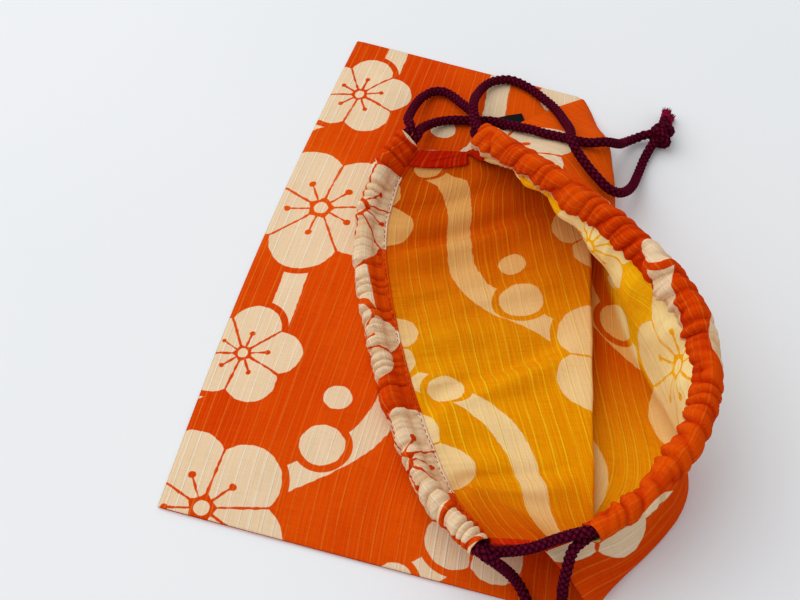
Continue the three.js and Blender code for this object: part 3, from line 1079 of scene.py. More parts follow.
@dataclass(frozen=True)
class Blossom:
    """A blossom of five round petals, in metres within one repeat of the print.

    Attributes:
        x: Its place across the repeat.
        y: Its place up the repeat.
        radius: From its middle to the tip of a petal.
        turn: How far it is turned, in degrees.
        line: Half the thickness of the lines left in the ground colour.
        petal: From its middle to a petal's, and the petal's radius, as shares of the radius.
        vein: How far the line up a petal reaches, as a share of the radius.
        dot: From its middle to the dot that ends that line, and the dot's radius, as such shares.
        heart: Radius of the pale heart and of the ring round it, as such shares.
    """

    x: float
    y: float
    radius: float
    turn: float
    line: float = 0.00055
    petal: Pair = (0.57, 0.43)
    vein: float = 0.4
    dot: Pair = (0.42, 0.045)
    heart: Pair = (0.09, 0.14)

    def distances(self, graph: Graph, x: Signal, y: Signal) -> tuple[Signal, Signal]:
        """Distances from the blossom's outline and from its pale parts, less than 0 inside.

        Args:
            graph: The material's nodes.
            x: Place across the repeat.
            y: Place up the repeat.

        Returns:
            Both distances.
        """
        sector = 2 * math.pi / 5
        middle, petal = (share * self.radius for share in self.petal)
        dot_place, dot = (share * self.radius for share in self.dot)
        heart, ring = (share * self.radius for share in self.heart)
        dx, dy = x - self.x, y - self.y
        reach = (dx * dx + dy * dy) ** 0.5
        angle = graph.maths("ARCTAN2", dy, dx) + math.radians(self.turn)
        fold = abs(angle % sector - sector / 2)
        out = reach * graph.maths("COSINE", fold)
        side = reach * graph.maths("SINE", fold)
        off = out - middle
        outline = (off * off + side * side) ** 0.5 - petal
        apart = self.line - reach * graph.maths("SINE", sector / 2 - fold)
        vein = (self.line - side).least(self.vein * self.radius - reach)
        tip = out - dot_place
        tip = dot - (tip * tip + side * side) ** 0.5
        pale = outline.most(apart).most(vein).most(tip).most(ring - reach)
        return outline, pale.least(reach - heart)


@dataclass(frozen=True)
class Print:
    """A repeat of blossoms and buds with wavy ribbons behind them, pale on the ground colour.

    Attributes:
        wide: The repeat's width, in metres.
        high: The repeat's height, in metres. Every other column drops by half of it.
        turn: How far the repeat is turned on the cloth, in degrees.
        blossoms: The blossoms.
        buds: Places and radii of the buds.
        ribbon: Half a ribbon's width.
        swing: How far a ribbon swings to either side.
        gap: Ground left between the ribbons and what lies on them.
        slope: What a distance up the repeat is multiplied by for a sloping ribbon.
        shift: Where the repeat starts on the cloth, across and along it.
        wander: How far the motifs' edges wander.
        wander_scale: How often they do so in a metre.
        edge: Half the width of the motifs' soft edges.
    """

    wide: float = 0.150
    high: float = 0.128
    turn: float = 24.0
    blossoms: tuple[Blossom, ...] = (
        Blossom(x=-0.0330, y=0.0120, radius=0.0370, turn=20.0),
        Blossom(x=0.0340, y=-0.0240, radius=0.0260, turn=55.0),
    )
    buds: tuple[tuple[float, float, float], ...] = (
        (0.0200, 0.0330, 0.0095),
        (0.0420, 0.0230, 0.0060),
        (-0.0080, -0.0380, 0.0075),
    )
    ribbon: float = 0.0056
    swing: float = 0.0120
    gap: float = 0.0032
    slope: float = 0.92
    shift: Pair = (0.031, 0.062)
    wander: float = 0.0012
    wander_scale: float = 260.0
    edge: float = 0.0002

    def mask(self, graph: Graph, across: Signal, along: Signal) -> Signal:
        """1 on the pale motifs and 0 on the ground.

        Args:
            graph: The material's nodes.
            across: Place across the flat cloth, in metres.
            along: Place along the flat cloth, in metres.

        Returns:
            The mask, with slightly uneven edges.
        """
        cos, sin = math.cos(math.radians(self.turn)), math.sin(math.radians(self.turn))
        x = across * cos + along * sin + self.shift[0]
        y = along * cos - across * sin + self.shift[1]
        uneven = graph.noise(graph.vector(across, along), self.wander_scale, 1.0)
        uneven = (uneven - 0.5) * self.wander
        wave = graph.maths("SINE", x * (2 * math.pi / self.wide)) * self.swing
        ribbon = abs((y + wave) % (self.high / 2) - self.high / 4) * self.slope - self.ribbon + uneven
        column = (x / self.wide).floor()
        x = x % self.wide - self.wide / 2
        y = (y + column * (self.high * 0.5)) % self.high - self.high / 2
        shape = None
        for blossom in self.blossoms:
            outline, pale = blossom.distances(graph, x, y)
            ribbon = ribbon.most(self.gap - outline)
            shape = pale if shape is None else shape.least(pale)
        for bud_x, bud_y, radius in self.buds:
            dx, dy = x - bud_x, y - bud_y
            bud = (dx * dx + dy * dy) ** 0.5 - radius
            ribbon = ribbon.most(self.gap - bud)
            shape = shape.least(bud)
        return 1.0 - (shape + uneven).least(ribbon).between(-self.edge, self.edge)


@dataclass(frozen=True)
class Shades:
    """Colours of the printed cloth.

    Attributes:
        ground: The printed ground.
        deep: The ground where the dye is deeper.
        motif: The pale motifs.
        slub: Thick yarns on the ground.
        slub_pale: Thick yarns on the motifs.
    """

    ground: Colour
    deep: Colour
    motif: Colour
    slub: Colour
    slub_pale: Colour


# Shades of the printed face; of both inner faces in painted light that stands for light through the cloth,
# and in painted shade where little comes through; and of the turned-in hems

PRINTED = Shades(
    ground=srgb(229, 84, 3),
    deep=srgb(214, 62, 1),
    motif=srgb(235, 206, 168),
    slub=srgb(232, 104, 28),
    slub_pale=srgb(246, 230, 204),
)
# Painted light: the front panel's inner face as if lit through the cloth
INNER_FRONT_PAINTED_LIT = Shades(
    ground=srgb(242, 166, 3),
    deep=srgb(234, 148, 1),
    motif=srgb(243, 212, 154),
    slub=srgb(252, 206, 30),
    slub_pale=srgb(252, 228, 140),
)
# Painted light: the back wall's inner face glowing as if lit through the cloth
INNER_BACK_PAINTED_LIT = Shades(
    ground=srgb(255, 192, 10),
    deep=srgb(251, 174, 5),
    motif=srgb(253, 232, 164),
    slub=srgb(255, 218, 44),
    slub_pale=srgb(255, 240, 168),
)
# Painted shade: the front panel's inner face where little light comes through
INNER_FRONT_PAINTED_SHADE = Shades(
    ground=srgb(209, 91, 3),
    deep=srgb(197, 73, 2),
    motif=srgb(222, 162, 90),
    slub=srgb(222, 122, 14),
    slub_pale=srgb(236, 184, 100),
)
# Painted shade: the back panel's inner face where little light comes through
INNER_BACK_PAINTED_SHADE = Shades(
    ground=srgb(202, 82, 3),
    deep=srgb(190, 64, 2),
    motif=srgb(224, 164, 92),
    slub=srgb(222, 118, 12),
    slub_pale=srgb(238, 186, 100),
)
RED_HEM = Shades(
    ground=srgb(208, 48, 6),
    deep=srgb(194, 28, 3),
    motif=srgb(238, 216, 184),
    slub=srgb(222, 78, 20),
    slub_pale=srgb(222, 184, 138),
)


@dataclass(frozen=True)
class Slubs:
    """Thick yarns that run across the cloth, at uneven distances along it.

    Attributes:
        pitch: The usual distance between yarns, in metres.
        width: Their width, in metres.
        strength: How strong they are.
        sway: How far they sway, in metres.
    """

    pitch: float
    width: float
    strength: float = 1.0
    sway: float = 0.0010

    def height(self, graph: Graph, across: Signal, along: Signal) -> Signal:
        """How far the yarns stand out.

        Args:
            graph: The material's nodes.
            across: Place across the flat cloth, in metres.
            along: Place along the flat cloth, in metres.

        Returns:
            Their strength on the strongest yarns, 0 between the yarns.
        """
        drift = graph.grain(across, along, (9.0, 9.0)) - 0.5
        row = along / self.pitch + drift * (self.sway / self.pitch)
        number = row.floor()
        off = abs(row % 1.0 - (graph.chance(number) * 0.4 + 0.3)) * self.pitch
        strong = graph.chance(number + 0.37) * 0.55 + 0.45
        even = graph.grain(across, number, (26.0, 3.1)).between(0.28, 0.5) * 0.45 + 0.55
        return (1.0 - off.between(self.width * 0.3, self.width * 0.7)) * strong * even * self.strength


@dataclass(frozen=True)
class PaintedBacklight:
    """Where painted light, standing for light through the cloth, lies on the inner faces, in metres on the
    flat cloth.

    Attributes:
        front_rise: Places across the front panel between which it comes up.
        front_fall: Places across the front panel between which it fades.
        line_edge: Heights up the back panel, at its near seam, between which it comes up.
        line_fall: How far those heights fall with each metre across.
        low_fall: Places across the back panel between which the light below them fades.
        low_share: How strong that light is.
    """

    front_rise: Pair = (0.01, 0.075)
    front_fall: Pair = (0.08, 0.215)
    line_edge: Pair = (0.222, 0.228)
    line_fall: float = 0.32
    low_fall: Pair = (0.07, 0.135)
    low_share: float = 0.55

    def share(self, across: Signal, along: Signal) -> Signal:
        """How much painted light lies there, with painted shade where there is little.

        Args:
            across: Place across the flat cloth.
            along: Place along it, less than 0 on the back panel.

        Returns:
            Values from 0 to 1.
        """
        back = (0.0 - along).between(-0.0005, 0.0005)
        front_share = across.between(*self.front_rise) * (1.0 - across.between(*self.front_fall))
        high = (across * self.line_fall - along).between(*self.line_edge)
        low = (1.0 - across.between(*self.low_fall)) * self.low_share
        return front_share * (1.0 - back) + high.most(low) * back


@dataclass(frozen=True)
class PrintedCotton:
    """Slub cotton printed on its outer face, the print showing through on the inner one.

    Attributes:
        name: The material's name.
        shades: Its colours; on an inner face, its colours in painted light that stands for light through the
            cloth.
        painted_shade: Its colours in painted shade on the inner face where little light comes through.
        design: The print, or None for a stretch of plain ground.
        gathered: Where the gathered casings begin, in metres from the bottom fold.
        thread_tints: What the ground's and the motifs' colours are multiplied by between the threads.
        painted_crease_shade_tints: What they are multiplied by as painted shade, deep between the bunches of
            a casing.
        thread_depth: How strongly the colour between the threads shows.
        gather_edge: Half the length, in metres, over which the gathers' wrinkles begin.
        slubs: Its coarse and its fine slubs.
        light: Where painted light, standing for light through the cloth, lies on its inner face.
        dye: Scales across and along of the patches of deeper dye.
        weft: Scales across and along of the threads across.
        warp: Scales across and along of the threads along.
    """

    name: str
    shades: Shades
    painted_shade: Union[Shades, None] = None
    design: Union[Print, None] = Print()
    gathered: float = 0.233
    thread_tints: tuple[Colour, Colour] = ((0.84, 0.66, 0.6), (0.92, 0.86, 0.79))
    painted_crease_shade_tints: tuple[Colour, Colour] = ((0.64, 0.18, 0.12), (0.76, 0.57, 0.4))
    thread_depth: float = 0.58
    gather_edge: float = 0.007
    slubs: tuple[Slubs, Slubs] = (Slubs(0.0050, 0.00075), Slubs(0.0021, 0.00042, 0.42))
    light: PaintedBacklight = PaintedBacklight()
    dye: Pair = (9.0, 14.0)
    weft: Pair = (60.0, 1200.0)
    warp: Pair = (1200.0, 120.0)

    def colour(self, graph: Graph, shades: Shades, mask: Operand, slub: Signal, dye: Signal) -> Signal:
        """The cloth's colour in one set of shades.

        Args:
            graph: The material's nodes.
            shades: The colours.
            mask: 1 on the motifs, 0 on the ground.
            slub: 1 on the strongest slubs, 0 between them.
            dye: Soft noise, low where the dye is deeper.

        Returns:
            The colour.
        """
        ground = graph.mix(dye.between(0.35, 0.65), shades.deep, shades.ground)
        ground = graph.mix(slub * 0.9, ground, shades.slub)
        motif = graph.mix(slub * 0.8, shades.motif, shades.slub_pale)
        return graph.mix(mask, ground, motif)

    def material(self) -> bpy.types.Material:
        """The finish as a material.

        Returns:
            The material.
        """
        graph = Graph(self.name)
        across, along = graph.cloth_place()
        mask = self.design.mask(graph, across, along) if self.design else 0.0
        dye = graph.grain(across, along, self.dye, 2.0)
        coarse, fine = (slubs.height(graph, across, along) for slubs in self.slubs)
        slub = coarse.most(fine)
        weft = graph.grain(across, along, self.weft)
        warp = graph.grain(across, along, self.warp)
        colour = self.colour(graph, self.shades, mask, slub, dye)
        # Painted light and painted shade: the inner face is mixed between its lit and its shaded copy
        if self.painted_shade:
            shaded = self.colour(graph, self.painted_shade, mask, slub, dye)
            colour = graph.mix(self.light.share(across, along), shaded, colour)
        threads = (weft * 0.6 + warp * 0.4).between(0.34, 0.6)
        tint = graph.mix(mask, *self.thread_tints)
        colour = graph.mix((1.0 - threads) * self.thread_depth, colour, tint, "MULTIPLY")
        wrinkles = graph.noise(graph.vector(across * 330.0 + along * 120.0, along * 60.0), 1.0)
        # Painted shade: the colour darkens deep between a casing's bunches
        deep = graph.hollow() * (1.35 - wrinkles * 0.7)
        colour = graph.mix(deep, colour, graph.mix(mask, *self.painted_crease_shade_tints), "MULTIPLY")
        begin, full = self.gathered - self.gather_edge, self.gathered + self.gather_edge
        wrinkles = wrinkles * abs(along).between(begin, full)
        height = slub + weft * 0.45 + warp * 0.3 + wrinkles * 6.0
        return graph.finish(
            Base_Color=colour,
            Roughness=0.92,
            Specular_IOR_Level=0.02,
            Normal=graph.bump(height, 0.0003, 0.8),
        )


@dataclass(frozen=True)
class Yarn:
    """Dyed yarn, twisted or braided.

    Attributes:
        name: The material's name.
        dark: Its darker fibres, and the painted shade between the strands of a braid.
        light: Its paler fibres, and its colour on top of a braid's strands.
        painted_strand_shade: Whether the mesh tells how far its strands stand out, for painted shade between
            them.
    """

    name: str
    dark: Colour
    light: Colour
    painted_strand_shade: bool = True

    def material(self) -> bpy.types.Material:
        """The finish as a material.

        Returns:
            The material.
        """
        graph = Graph(self.name)
        place = graph.object_place()
        fibre = graph.noise(place, 2600.0)
        tone = (fibre * 0.7 + graph.noise(place, 90.0) * 0.3).between(0.36, 0.66)
        if self.painted_strand_shade:
            # Painted shade: a braid's colour darkens between its strands
            swell, _ = graph.cloth_place()
            tone = swell.between(0.25, 0.95) * (tone * 0.45 + 0.55)
        return graph.finish(
            Base_Color=graph.mix(tone, self.dark, self.light),
            Roughness=0.8,
            Specular_IOR_Level=0.02,
            Normal=graph.bump(fibre, 0.0002, 0.6),
        )


@dataclass(frozen=True)
class WovenTape:
    """Plain black woven tape.

    Attributes:
        dark: Its colour between the ribs.
        light: Its colour on them.
        rib: Distance between ribs, in metres.
    """

    dark: Colour
    light: Colour
    rib: float = 0.0007

    def material(self) -> bpy.types.Material:
        """The finish as a material.

        Returns:
            The material.
        """
        graph = Graph("woven_tape")
        across, along = graph.cloth_place()
        ribs = graph.maths("SINE", (across + along) * (2 * math.pi / self.rib))
        fluff = graph.noise(graph.vector(across, along), 1800.0)
        colour = graph.mix((ribs * 0.2 + fluff).between(0.3, 0.8), self.dark, self.light)
        return graph.finish(
            Base_Color=colour,
            Roughness=0.85,
            Specular_IOR_Level=0.1,
            Normal=graph.bump(ribs * 0.5 + fluff, 0.0002, 0.6),
        )


@dataclass(frozen=True)
class Table:
    """A plain pale table.

    Attributes:
        colour: Its colour.
        shade: Its colour in the slightly darker patches.
    """

    colour: Colour
    shade: Colour

    def material(self) -> bpy.types.Material:
        """The finish as a material.

        Returns:
            The material.
        """
        graph = Graph("pale_table")
        soft = graph.noise(graph.object_place(), 2.0)
        return graph.finish(
            Base_Color=graph.mix(soft.between(0.3, 0.7), self.shade, self.colour),
            Roughness=0.75,
            Specular_IOR_Level=0.2,
        )


# Sub-assemblies


@dataclass(frozen=True)
class Gathers:
    """How a casing bunches up on its drawstrings.

    Attributes:
        count: Bunches along the lip.
        depth: How far they stand out.
        slant: How far a bunch runs along the lip on its way round the casing, in bunches.
        hem_share: How much of the depth is left on the hem side.
        pucker: How far the stitch line waves.
        seed: Which set of small differences is used.
        drifts: Waves along the lip that shift the bunches, each with how far it shifts them.
        creases: Small creases in a bunch.
        bunch_share: The bunches' part in the relief.
        crease_share: The creases' part in it.
    """

    count: float
    depth: float
    slant: float
    hem_share: float
    pucker: float
    seed: int
    drifts: tuple[Pair, ...] = ((2.3, 0.5), (5.1, 0.35), (9.7, 0.25), (17.3, 0.17))
    creases: float = 2.4
    bunch_share: float = 0.8
    crease_share: float = 0.32

    def phase(self, t: Array, times: float = 1.0) -> Array:
        """Number of the bunch, unevenly spaced.

        Args:
            t: Shares of the lip's length.
            times: How many creases there are in a bunch.

        Returns:
            The number, with its fraction.
        """
        chance = np.random.default_rng(self.seed + round(10 * times))
        phase = self.count * times * t
        for waves, swing in self.drifts:
            phase = phase + swing * np.sin(2 * math.pi * (waves * t + chance.random()))
        return phase

    def relief(self, t: Array, around: Array) -> Array:
        """The bunches and their small creases.

        Args:
            t: Shares of the lip's length.
            around: Places round the casing, from 0 at the stitch line to 1 at the hem.

        Returns:
            Heights from 0 in a hollow to about 1 on a bunch.
        """
        lean = self.slant * (2 * around - 1)
        size = 1 + 0.25 * np.sin(2 * math.pi * (3.7 * t + 0.31 * self.seed))
        size = size + 0.25 * np.sin(2 * math.pi * (9.1 * t + 0.53 * self.seed) + 3 * around)
        place = (self.phase(t) + lean) % 1.0
        bunch = np.sin(math.pi * place**0.64) ** 1.25
        crease = np.abs(np.sin(math.pi * (self.phase(t, self.creases) + 1.6 * lean)))
        return self.bunch_share * size * bunch + self.crease_share * crease

    def height(self, t: Array, around: Array) -> Array:
        """How far the cloth stands out of the plain casing, in millimetres."""
        fade = ease(around, 0.03, 0.3) * (1 - (1 - self.hem_share) * ease(around, 0.6, 0.8))
        fade = fade * (1 - 0.8 * ease(around, 0.86, 1.0)) * (0.4 + 0.6 * ease(around, 0.45, 0.62))
        return self.depth * fade * self.relief(t, around)

    def hollow(self, t: Array, around: Array) -> Array:
        """How deep the cloth lies between the bunches, from 0 to 1, the mask of the painted shade in the
        creases.
        """
        deep = 0.08 + 0.92 * (1 - np.clip(self.relief(t, around) / self.bunch_share, 0.0, 1.0))
        return deep * ease(around, 0.0, 0.12) * (1 - ease(around, 0.9, 1.0))


@dataclass(frozen=True)
class SoftFold:
    """A soft fold in a panel, from its casing to its crease.

    Attributes:
        start: Share of the width where it begins at the casing.
        drift: How far it drifts across on its way to the crease.
        depth: How far it stands out of the printed face on one side and in on the other.
        spread: Its width as a share of the panel's.
        fade_in: Places along the cloth, past the crease, between which it comes in.
        fade_out: Places along the cloth, before the casing, between which it fades.
    """

    start: float
    drift: float
    depth: float
    spread: float
    fade_in: Pair = (2.02, 2.3)
    fade_out: Pair = (2.82, 2.98)

    def height(self, t: Array, q: Array) -> Array:
        """How far it moves the panel out of its printed face."""
        off = (t - self.start - self.drift * (3 - q)) / self.spread
        fade = ease(q, *self.fade_in) * (1 - ease(q, *self.fade_out))
        # The curve alone is 1 / 2.33 high at its top
        return self.depth * 2.33 * off * np.exp(-off * off) * fade


@dataclass
class ClothPanel:
    """A panel of the pouch as cloth: the panel, its gathered casing, the turned-in hem and the slit hems.

    Attributes:
        name: The piece's name.
        panel: The panel's form.
        gathers: How its casing bunches up.
        rows: Places along the panel, from 0 to 3.
        crumple: Size of the small uneven waves.
        columns: Steps across the panel.
        thickness: The cloth's thickness.
        casing_rows: Steps round the casing.
        hem_gap: How far the turned-in hem lies from the panel.
        hem_rows: Rows of the hem: how far each lies below the stitch line, and its share of the gap.
        slit_hems: Widths of the hems along the near and the far slit.
        slit_grid: Rows and columns of points in the hem of a slit.
        folds: Soft folds in the panel.
        hem_flat: How much flatter the casing is on its hem side.
        end_draw: Share by which the casing draws in at its ends.
        end_zone: Length over which it does so.
        cord_room: Room left between the casing and its drawstrings.
        corner_tuck: How far the crease is drawn in beside the far corner.
        pucker_reach: How far below the stitch line the puckers fade.
        stitch_pitch: Distance between stitches.
        stitch_drop: How far below the casing they lie.
        slit_length: Cloth along a slit for each step of 1 along the panel.
        blur: Columns to either side over which places along the cloth are evened out.
        lowest: How low the cloth may lie over the table.
    """

    name: str
    panel: Panel
    gathers: Gathers
    rows: Array
    crumple: float
    columns: int = 344
    thickness: float = 0.6
    casing_rows: int = 34
    hem_gap: float = 0.75
    hem_rows: tuple[Pair, ...] = ((0.5, 1.0), (1.0, 1.0), (1.5, 0.95), (1.8, 0.7))
    slit_hems: Pair = (4.5, 11.0)
    slit_grid: tuple[int, int] = (26, 8)
    folds: tuple[SoftFold, ...] = ()
    hem_flat: float = 0.9
    end_draw: float = 0.3
    end_zone: float = 14.0
    cord_room: float = 0.3
    corner_tuck: float = 0.0
    pucker_reach: float = 16.0
    stitch_pitch: float = 2.8
    stitch_drop: float = 0.75
    slit_length: float = 40.0
    blur: int = 30
    lowest: float = 0.02

    @property
    def shares(self) -> Array:
        """Shares of the width, one for each column."""
        return np.linspace(0, 1, self.columns + 1)[None, :]

    @property
    def turns(self) -> Array:
        """Places round the casing, one for each of its rows."""
        return np.linspace(0, 1, self.casing_rows + 1)[1:, None]

    def pucker(self, t: Array) -> Array:
        """How the stitch line waves."""
        wave = np.cos(2 * math.pi * self.gathers.phase(t))
        return self.gathers.pucker * wave * (1 - np.abs(2 * t - 1) ** 12)

    def surface(self, t: Array, q: Array) -> Array:
        """The panel's middle surface with its puckers under the casing.

        Args:
            t: Shares of the width, from the near seam.
            q: Places along the cloth, as for Panel.point.

        Returns:
            Points of the surface.
        """
        t, q = np.broadcast_arrays(np.asarray(t, float), np.asarray(q, float))
        lip = self.panel.lip
        points = self.panel.point(t, q)
        last = self.panel.point(t, 0 * q + 3)
        before = self.panel.point(t, 0 * q + 2.9)
        # The distance to the stitch line, by the length of the last tenth
        reach = np.linalg.norm(last - before, axis=-1) * 10 * (3 - q)
        fade = np.exp(-reach / self.pucker_reach) * (q > 1.2)
        return points + lip.normal(t) * (self.pucker(t) * fade)[..., None]

    def normals(self, points: Array) -> Array:
        """Directions out of the printed face."""
        down, over = np.gradient(points, axis=0), np.gradient(points, axis=1)
        return self.panel.outward * unit(np.cross(down, over))

    def casing(self, t: Array, around: Array, inner: Array) -> Array:
        """The tunnel for the drawstrings, from the stitch line out, over the fold and back.

        Args:
            t: Shares of the lip's length.
            around: Places round the tunnel, from 0 to 1.
            inner: Directions out of the panel's inner face at the stitch line.

        Returns:
            Points of the middle surface.
        """
        form, lip = self.panel.form, self.panel.lip
        angle = math.pi * (2 * around - 1) * self.panel.outward
        middle = (lip.fold - lip.sewn) / 2
        open_ = (1 + np.cos(angle)) / 2
        stand = self.gathers.height(t, around)
        drawn = 1 - self.end_draw * (1 - ease(np.minimum(t, 1 - t) * lip.length, 0.0, self.end_zone))
        long = middle + (lip.fold - middle) * np.cos(angle)
        long = np.where(long > 0, long * drawn, long)
        flat = 0.35 + self.hem_flat * ease(around, 0.52, 0.78)
        thick = lip.half_thick * open_**flat * np.sin(angle) * drawn
        # The cloth keeps clear of both drawstrings
        over, out = lip.pair(t)
        place = np.clip((long - lip.cords) * over + thick * out, -form.cord_offset, form.cord_offset)
        cord_long, cord_thick = lip.cords + place * over, place * out
        room = form.cord / 2 + self.thickness / 2 + self.cord_room
        apart = np.hypot(long - cord_long, thick - cord_thick)
        push = np.maximum(room / np.maximum(apart, 0.1), 1.0)
        long = cord_long + (long - cord_long) * push + stand * drawn * np.cos(angle)
        thick = cord_thick + (thick - cord_thick) * push + stand * drawn * np.sin(angle)
        thick = thick + self.pucker(t) * (1 - open_) ** 3
        points = lip.at(t) + lip.axis(t) * long[..., None] + lip.normal(t) * thick[..., None]
        return points + inner * (self.hem_gap * ease(around, 0.55, 1.0))[..., None]

    def layout(self) -> tuple[Array, Array]:
        """Lays out the whole panel.

        Returns:
            Its middle surface, by rows and columns, and its places on the flat cloth.
        """
        t = self.shares
        panel = self.surface(t, self.rows[:, None])
        inner = -self.normals(panel)[-1]
        casing = self.casing(np.broadcast_to(t, (self.casing_rows, t.shape[1])), self.turns, inner[None])
        towards = unit(panel[-1] - panel[-3])
        hem = [panel[-1] - towards * down + inner * (self.hem_gap * share) for down, share in self.hem_rows]
        points = np.concatenate([panel, casing, np.stack(hem)])
        steps = np.linalg.norm(np.diff(points, axis=0), axis=-1)
        along = np.concatenate([np.zeros((1, points.shape[1])), np.cumsum(steps, axis=0)])
        stitch = self.panel.form.height - self.panel.form.casing_width
        window = np.hanning(2 * self.blur + 3)[1:-1]
        padded = np.pad(along, ((0, 0), (self.blur, self.blur)), mode="edge")
        along = np.stack([np.convolve(row, window / window.sum(), mode="valid") for row in padded])
        sewn = len(self.rows) - 1
        share = along / along[sewn]
        below = np.arange(len(along))[:, None] <= sewn
        along = np.where(below, share * stitch, along - along[sewn] + stitch)
        across = np.broadcast_to(t * self.panel.form.width, along.shape)
        return points, np.stack([across, self.panel.outward * along], axis=-1)

    def crumpled(self, points: Array, cloth: Array) -> Array:
        """Adds small uneven waves and the soft folds, and lays the panels' edges on each other.

        Args:
            points: The middle surface, by rows and columns.
            cloth: Its places on the flat cloth.

        Returns:
            The moved points.
        """
        q = np.concatenate([self.rows, np.full(len(points) - len(self.rows), 3.0)])[:, None]
        t = self.shares
        normals = self.normals(points)
        edge = np.minimum(t, 1 - t)
        # The waves fade at the seams, the bottom fold and the casing, and where the cloth lies on the table
        open_ = ease(edge, 0.01, 0.08) * ease(q, 0.02, 0.12) * (1 - ease(q, 2.85, 3.0))
        if self.panel.outward < 0:
            open_ = open_ * ease(q, 1.05, 1.5)
        broad = Waves(shortest=26.0, longest=70.0, count=9, seed=5 + self.gathers.seed)
        small = Waves(shortest=7.0, longest=22.0, count=11, seed=11 + self.gathers.seed)
        across, along = cloth[..., 0], cloth[..., 1]
        height = (0.8 * broad(across, along) + 0.28 * small(across, along)) * self.crumple * open_
        for fold in self.folds:
            height = height + fold.height(t, q)
        moved = points + normals * height[..., None]
        # At the side seams each panel is moved off the other one
        apart = (1 - ease(edge, 0.0, 0.03)) * (q <= self.panel.form.slit_foot) * ease(q, 0.0, 0.03)
        # The crease is drawn in beside the far corner
        corner = hump(np.clip(q - 1, 0, 1)) * ease(1 - t, 0.004, 0.016) * (1 - ease(1 - t, 0.03, 0.07))
        return moved + normals * (apart * self.thickness * 0.52 + corner * self.corner_tuck)[..., None]

    def hollows(self, shape: tuple[int, ...]) -> Array:
        """How deep the middle surface lies between the bunches of the casing, the mask of the painted shade
        in its creases.

        Args:
            shape: Its rows and columns.

        Returns:
            Values from 0 to 1.
        """
        deep = np.zeros(shape)
        first = len(self.rows)
        deep[first : first + self.casing_rows] = self.gathers.hollow(self.shares, self.turns)
        return deep

    def thicken(
        self,
        maker: MeshMaker,
        points: Array,
        cloth: Array,
        normals: Array,
        outer: ClothFace,
        inner: ClothFace,
    ) -> None:
        """Adds a closed sheet round a middle surface, its rim in the hem's finish.

        Args:
            maker: The mesh that it is added to.
            points: The middle surface, by rows and columns.
            cloth: Its places on the flat cloth.
            normals: Directions out of its printed face.
            outer: The finish of the printed face.
            inner: The finish of the inner face.
        """
        rows, columns = points.shape[:2]
        half = normals * (self.thickness / 2)
        both = np.concatenate([(points + half).reshape(-1, 3), (points - half).reshape(-1, 3)])
        both[:, 2] = np.maximum(both[:, 2], self.lowest)
        faces, part = sheet_faces(rows, columns, self.panel.outward < 0)
        finish = np.array([outer, inner, ClothFace.HEM])[part]
        hollow = self.hollows((rows, columns)) if outer is ClothFace.PRINTED else np.zeros((rows, columns))
        flat_cloth = np.concatenate([cloth.reshape(-1, 2)] * 2)
        maker.add(both, faces, finish, flat_cloth, np.tile(hollow.ravel(), 2))

    def slit_patch(self, maker: MeshMaker, end: End) -> None:
        """Adds the hem folded in along one edge of a slit.

        Args:
            maker: The mesh that it is added to.
            end: Which slit.
        """
        form = self.panel.form
        rows, columns = self.slit_grid
        share = np.linspace(0, 1, columns)[None, :]
        t = share * self.slit_hems[end] / form.width
        t = 1 - t[:, ::-1] if end else t
        share = share[:, ::-1] if end else share
        q = np.linspace(form.slit_foot - 0.03, 3.0, rows)[:, None]
        points = self.surface(t, q)
        normals = self.normals(points)
        lift = self.thickness / 2 + (self.hem_gap - 0.1) * ease(share, 0.0, 0.14)
        points = points - normals * np.broadcast_to(lift, q.shape[:1] + t.shape[1:])[..., None]
        across = np.broadcast_to(t * form.width, points.shape[:2])
        along = self.panel.outward * (form.height - self.slit_length * (3 - q))
        along = np.broadcast_to(along, points.shape[:2])
        cloth = np.stack([across, along], axis=-1)
        self.thicken(maker, points, cloth, normals, ClothFace.HEM, ClothFace.HEM)

    def stitches(self, inner_side: bool) -> tuple[Array, Array, Array]:
        """Where the stitches of the casing lie.

        Args:
            inner_side: Whether they lie on the hem, or on the outer face.

        Returns:
            Their middles, their directions and the directions out of the cloth.
        """
        lip = self.panel.lip
        count = int(lip.length / self.stitch_pitch)
        t = ((np.arange(count) + 0.5) / count)[None, :]
        near = self.surface(np.vstack([t - 0.0015, t, t + 0.0015]), np.array([[3.0], [3.0], [3.0]]))
        below = self.surface(t, np.array([[2.97]]))[0]
        run = unit(near[2] - near[0])
        back = unit(below - near[1])
        out = self.panel.outward * unit(np.cross(-back, run))
        lift = self.thickness / 2 + 0.1
        if inner_side:
            out, lift = -out, lift + self.hem_gap
        return near[1] + back * self.stitch_drop + out * lift, run, out

    def build(self, origin: Array, materials: Sequence[bpy.types.Material]) -> bpy.types.Object:
        """Makes the piece.

        Args:
            origin: The pouch frame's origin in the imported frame.
            materials: The materials of the printed face, the inner face and the slit hems.

        Returns:
            The piece.
        """
        maker = MeshMaker(origin)
        points, cloth = self.layout()
        points = self.crumpled(points, cloth)
        normals = self.normals(points)
        normals[0] = -TO_MOUTH
        self.thicken(maker, points, cloth, normals, ClothFace.PRINTED, ClothFace.INNER)
        for end in End:
            self.slit_patch(maker, end)
        return maker.make(self.name, materials)


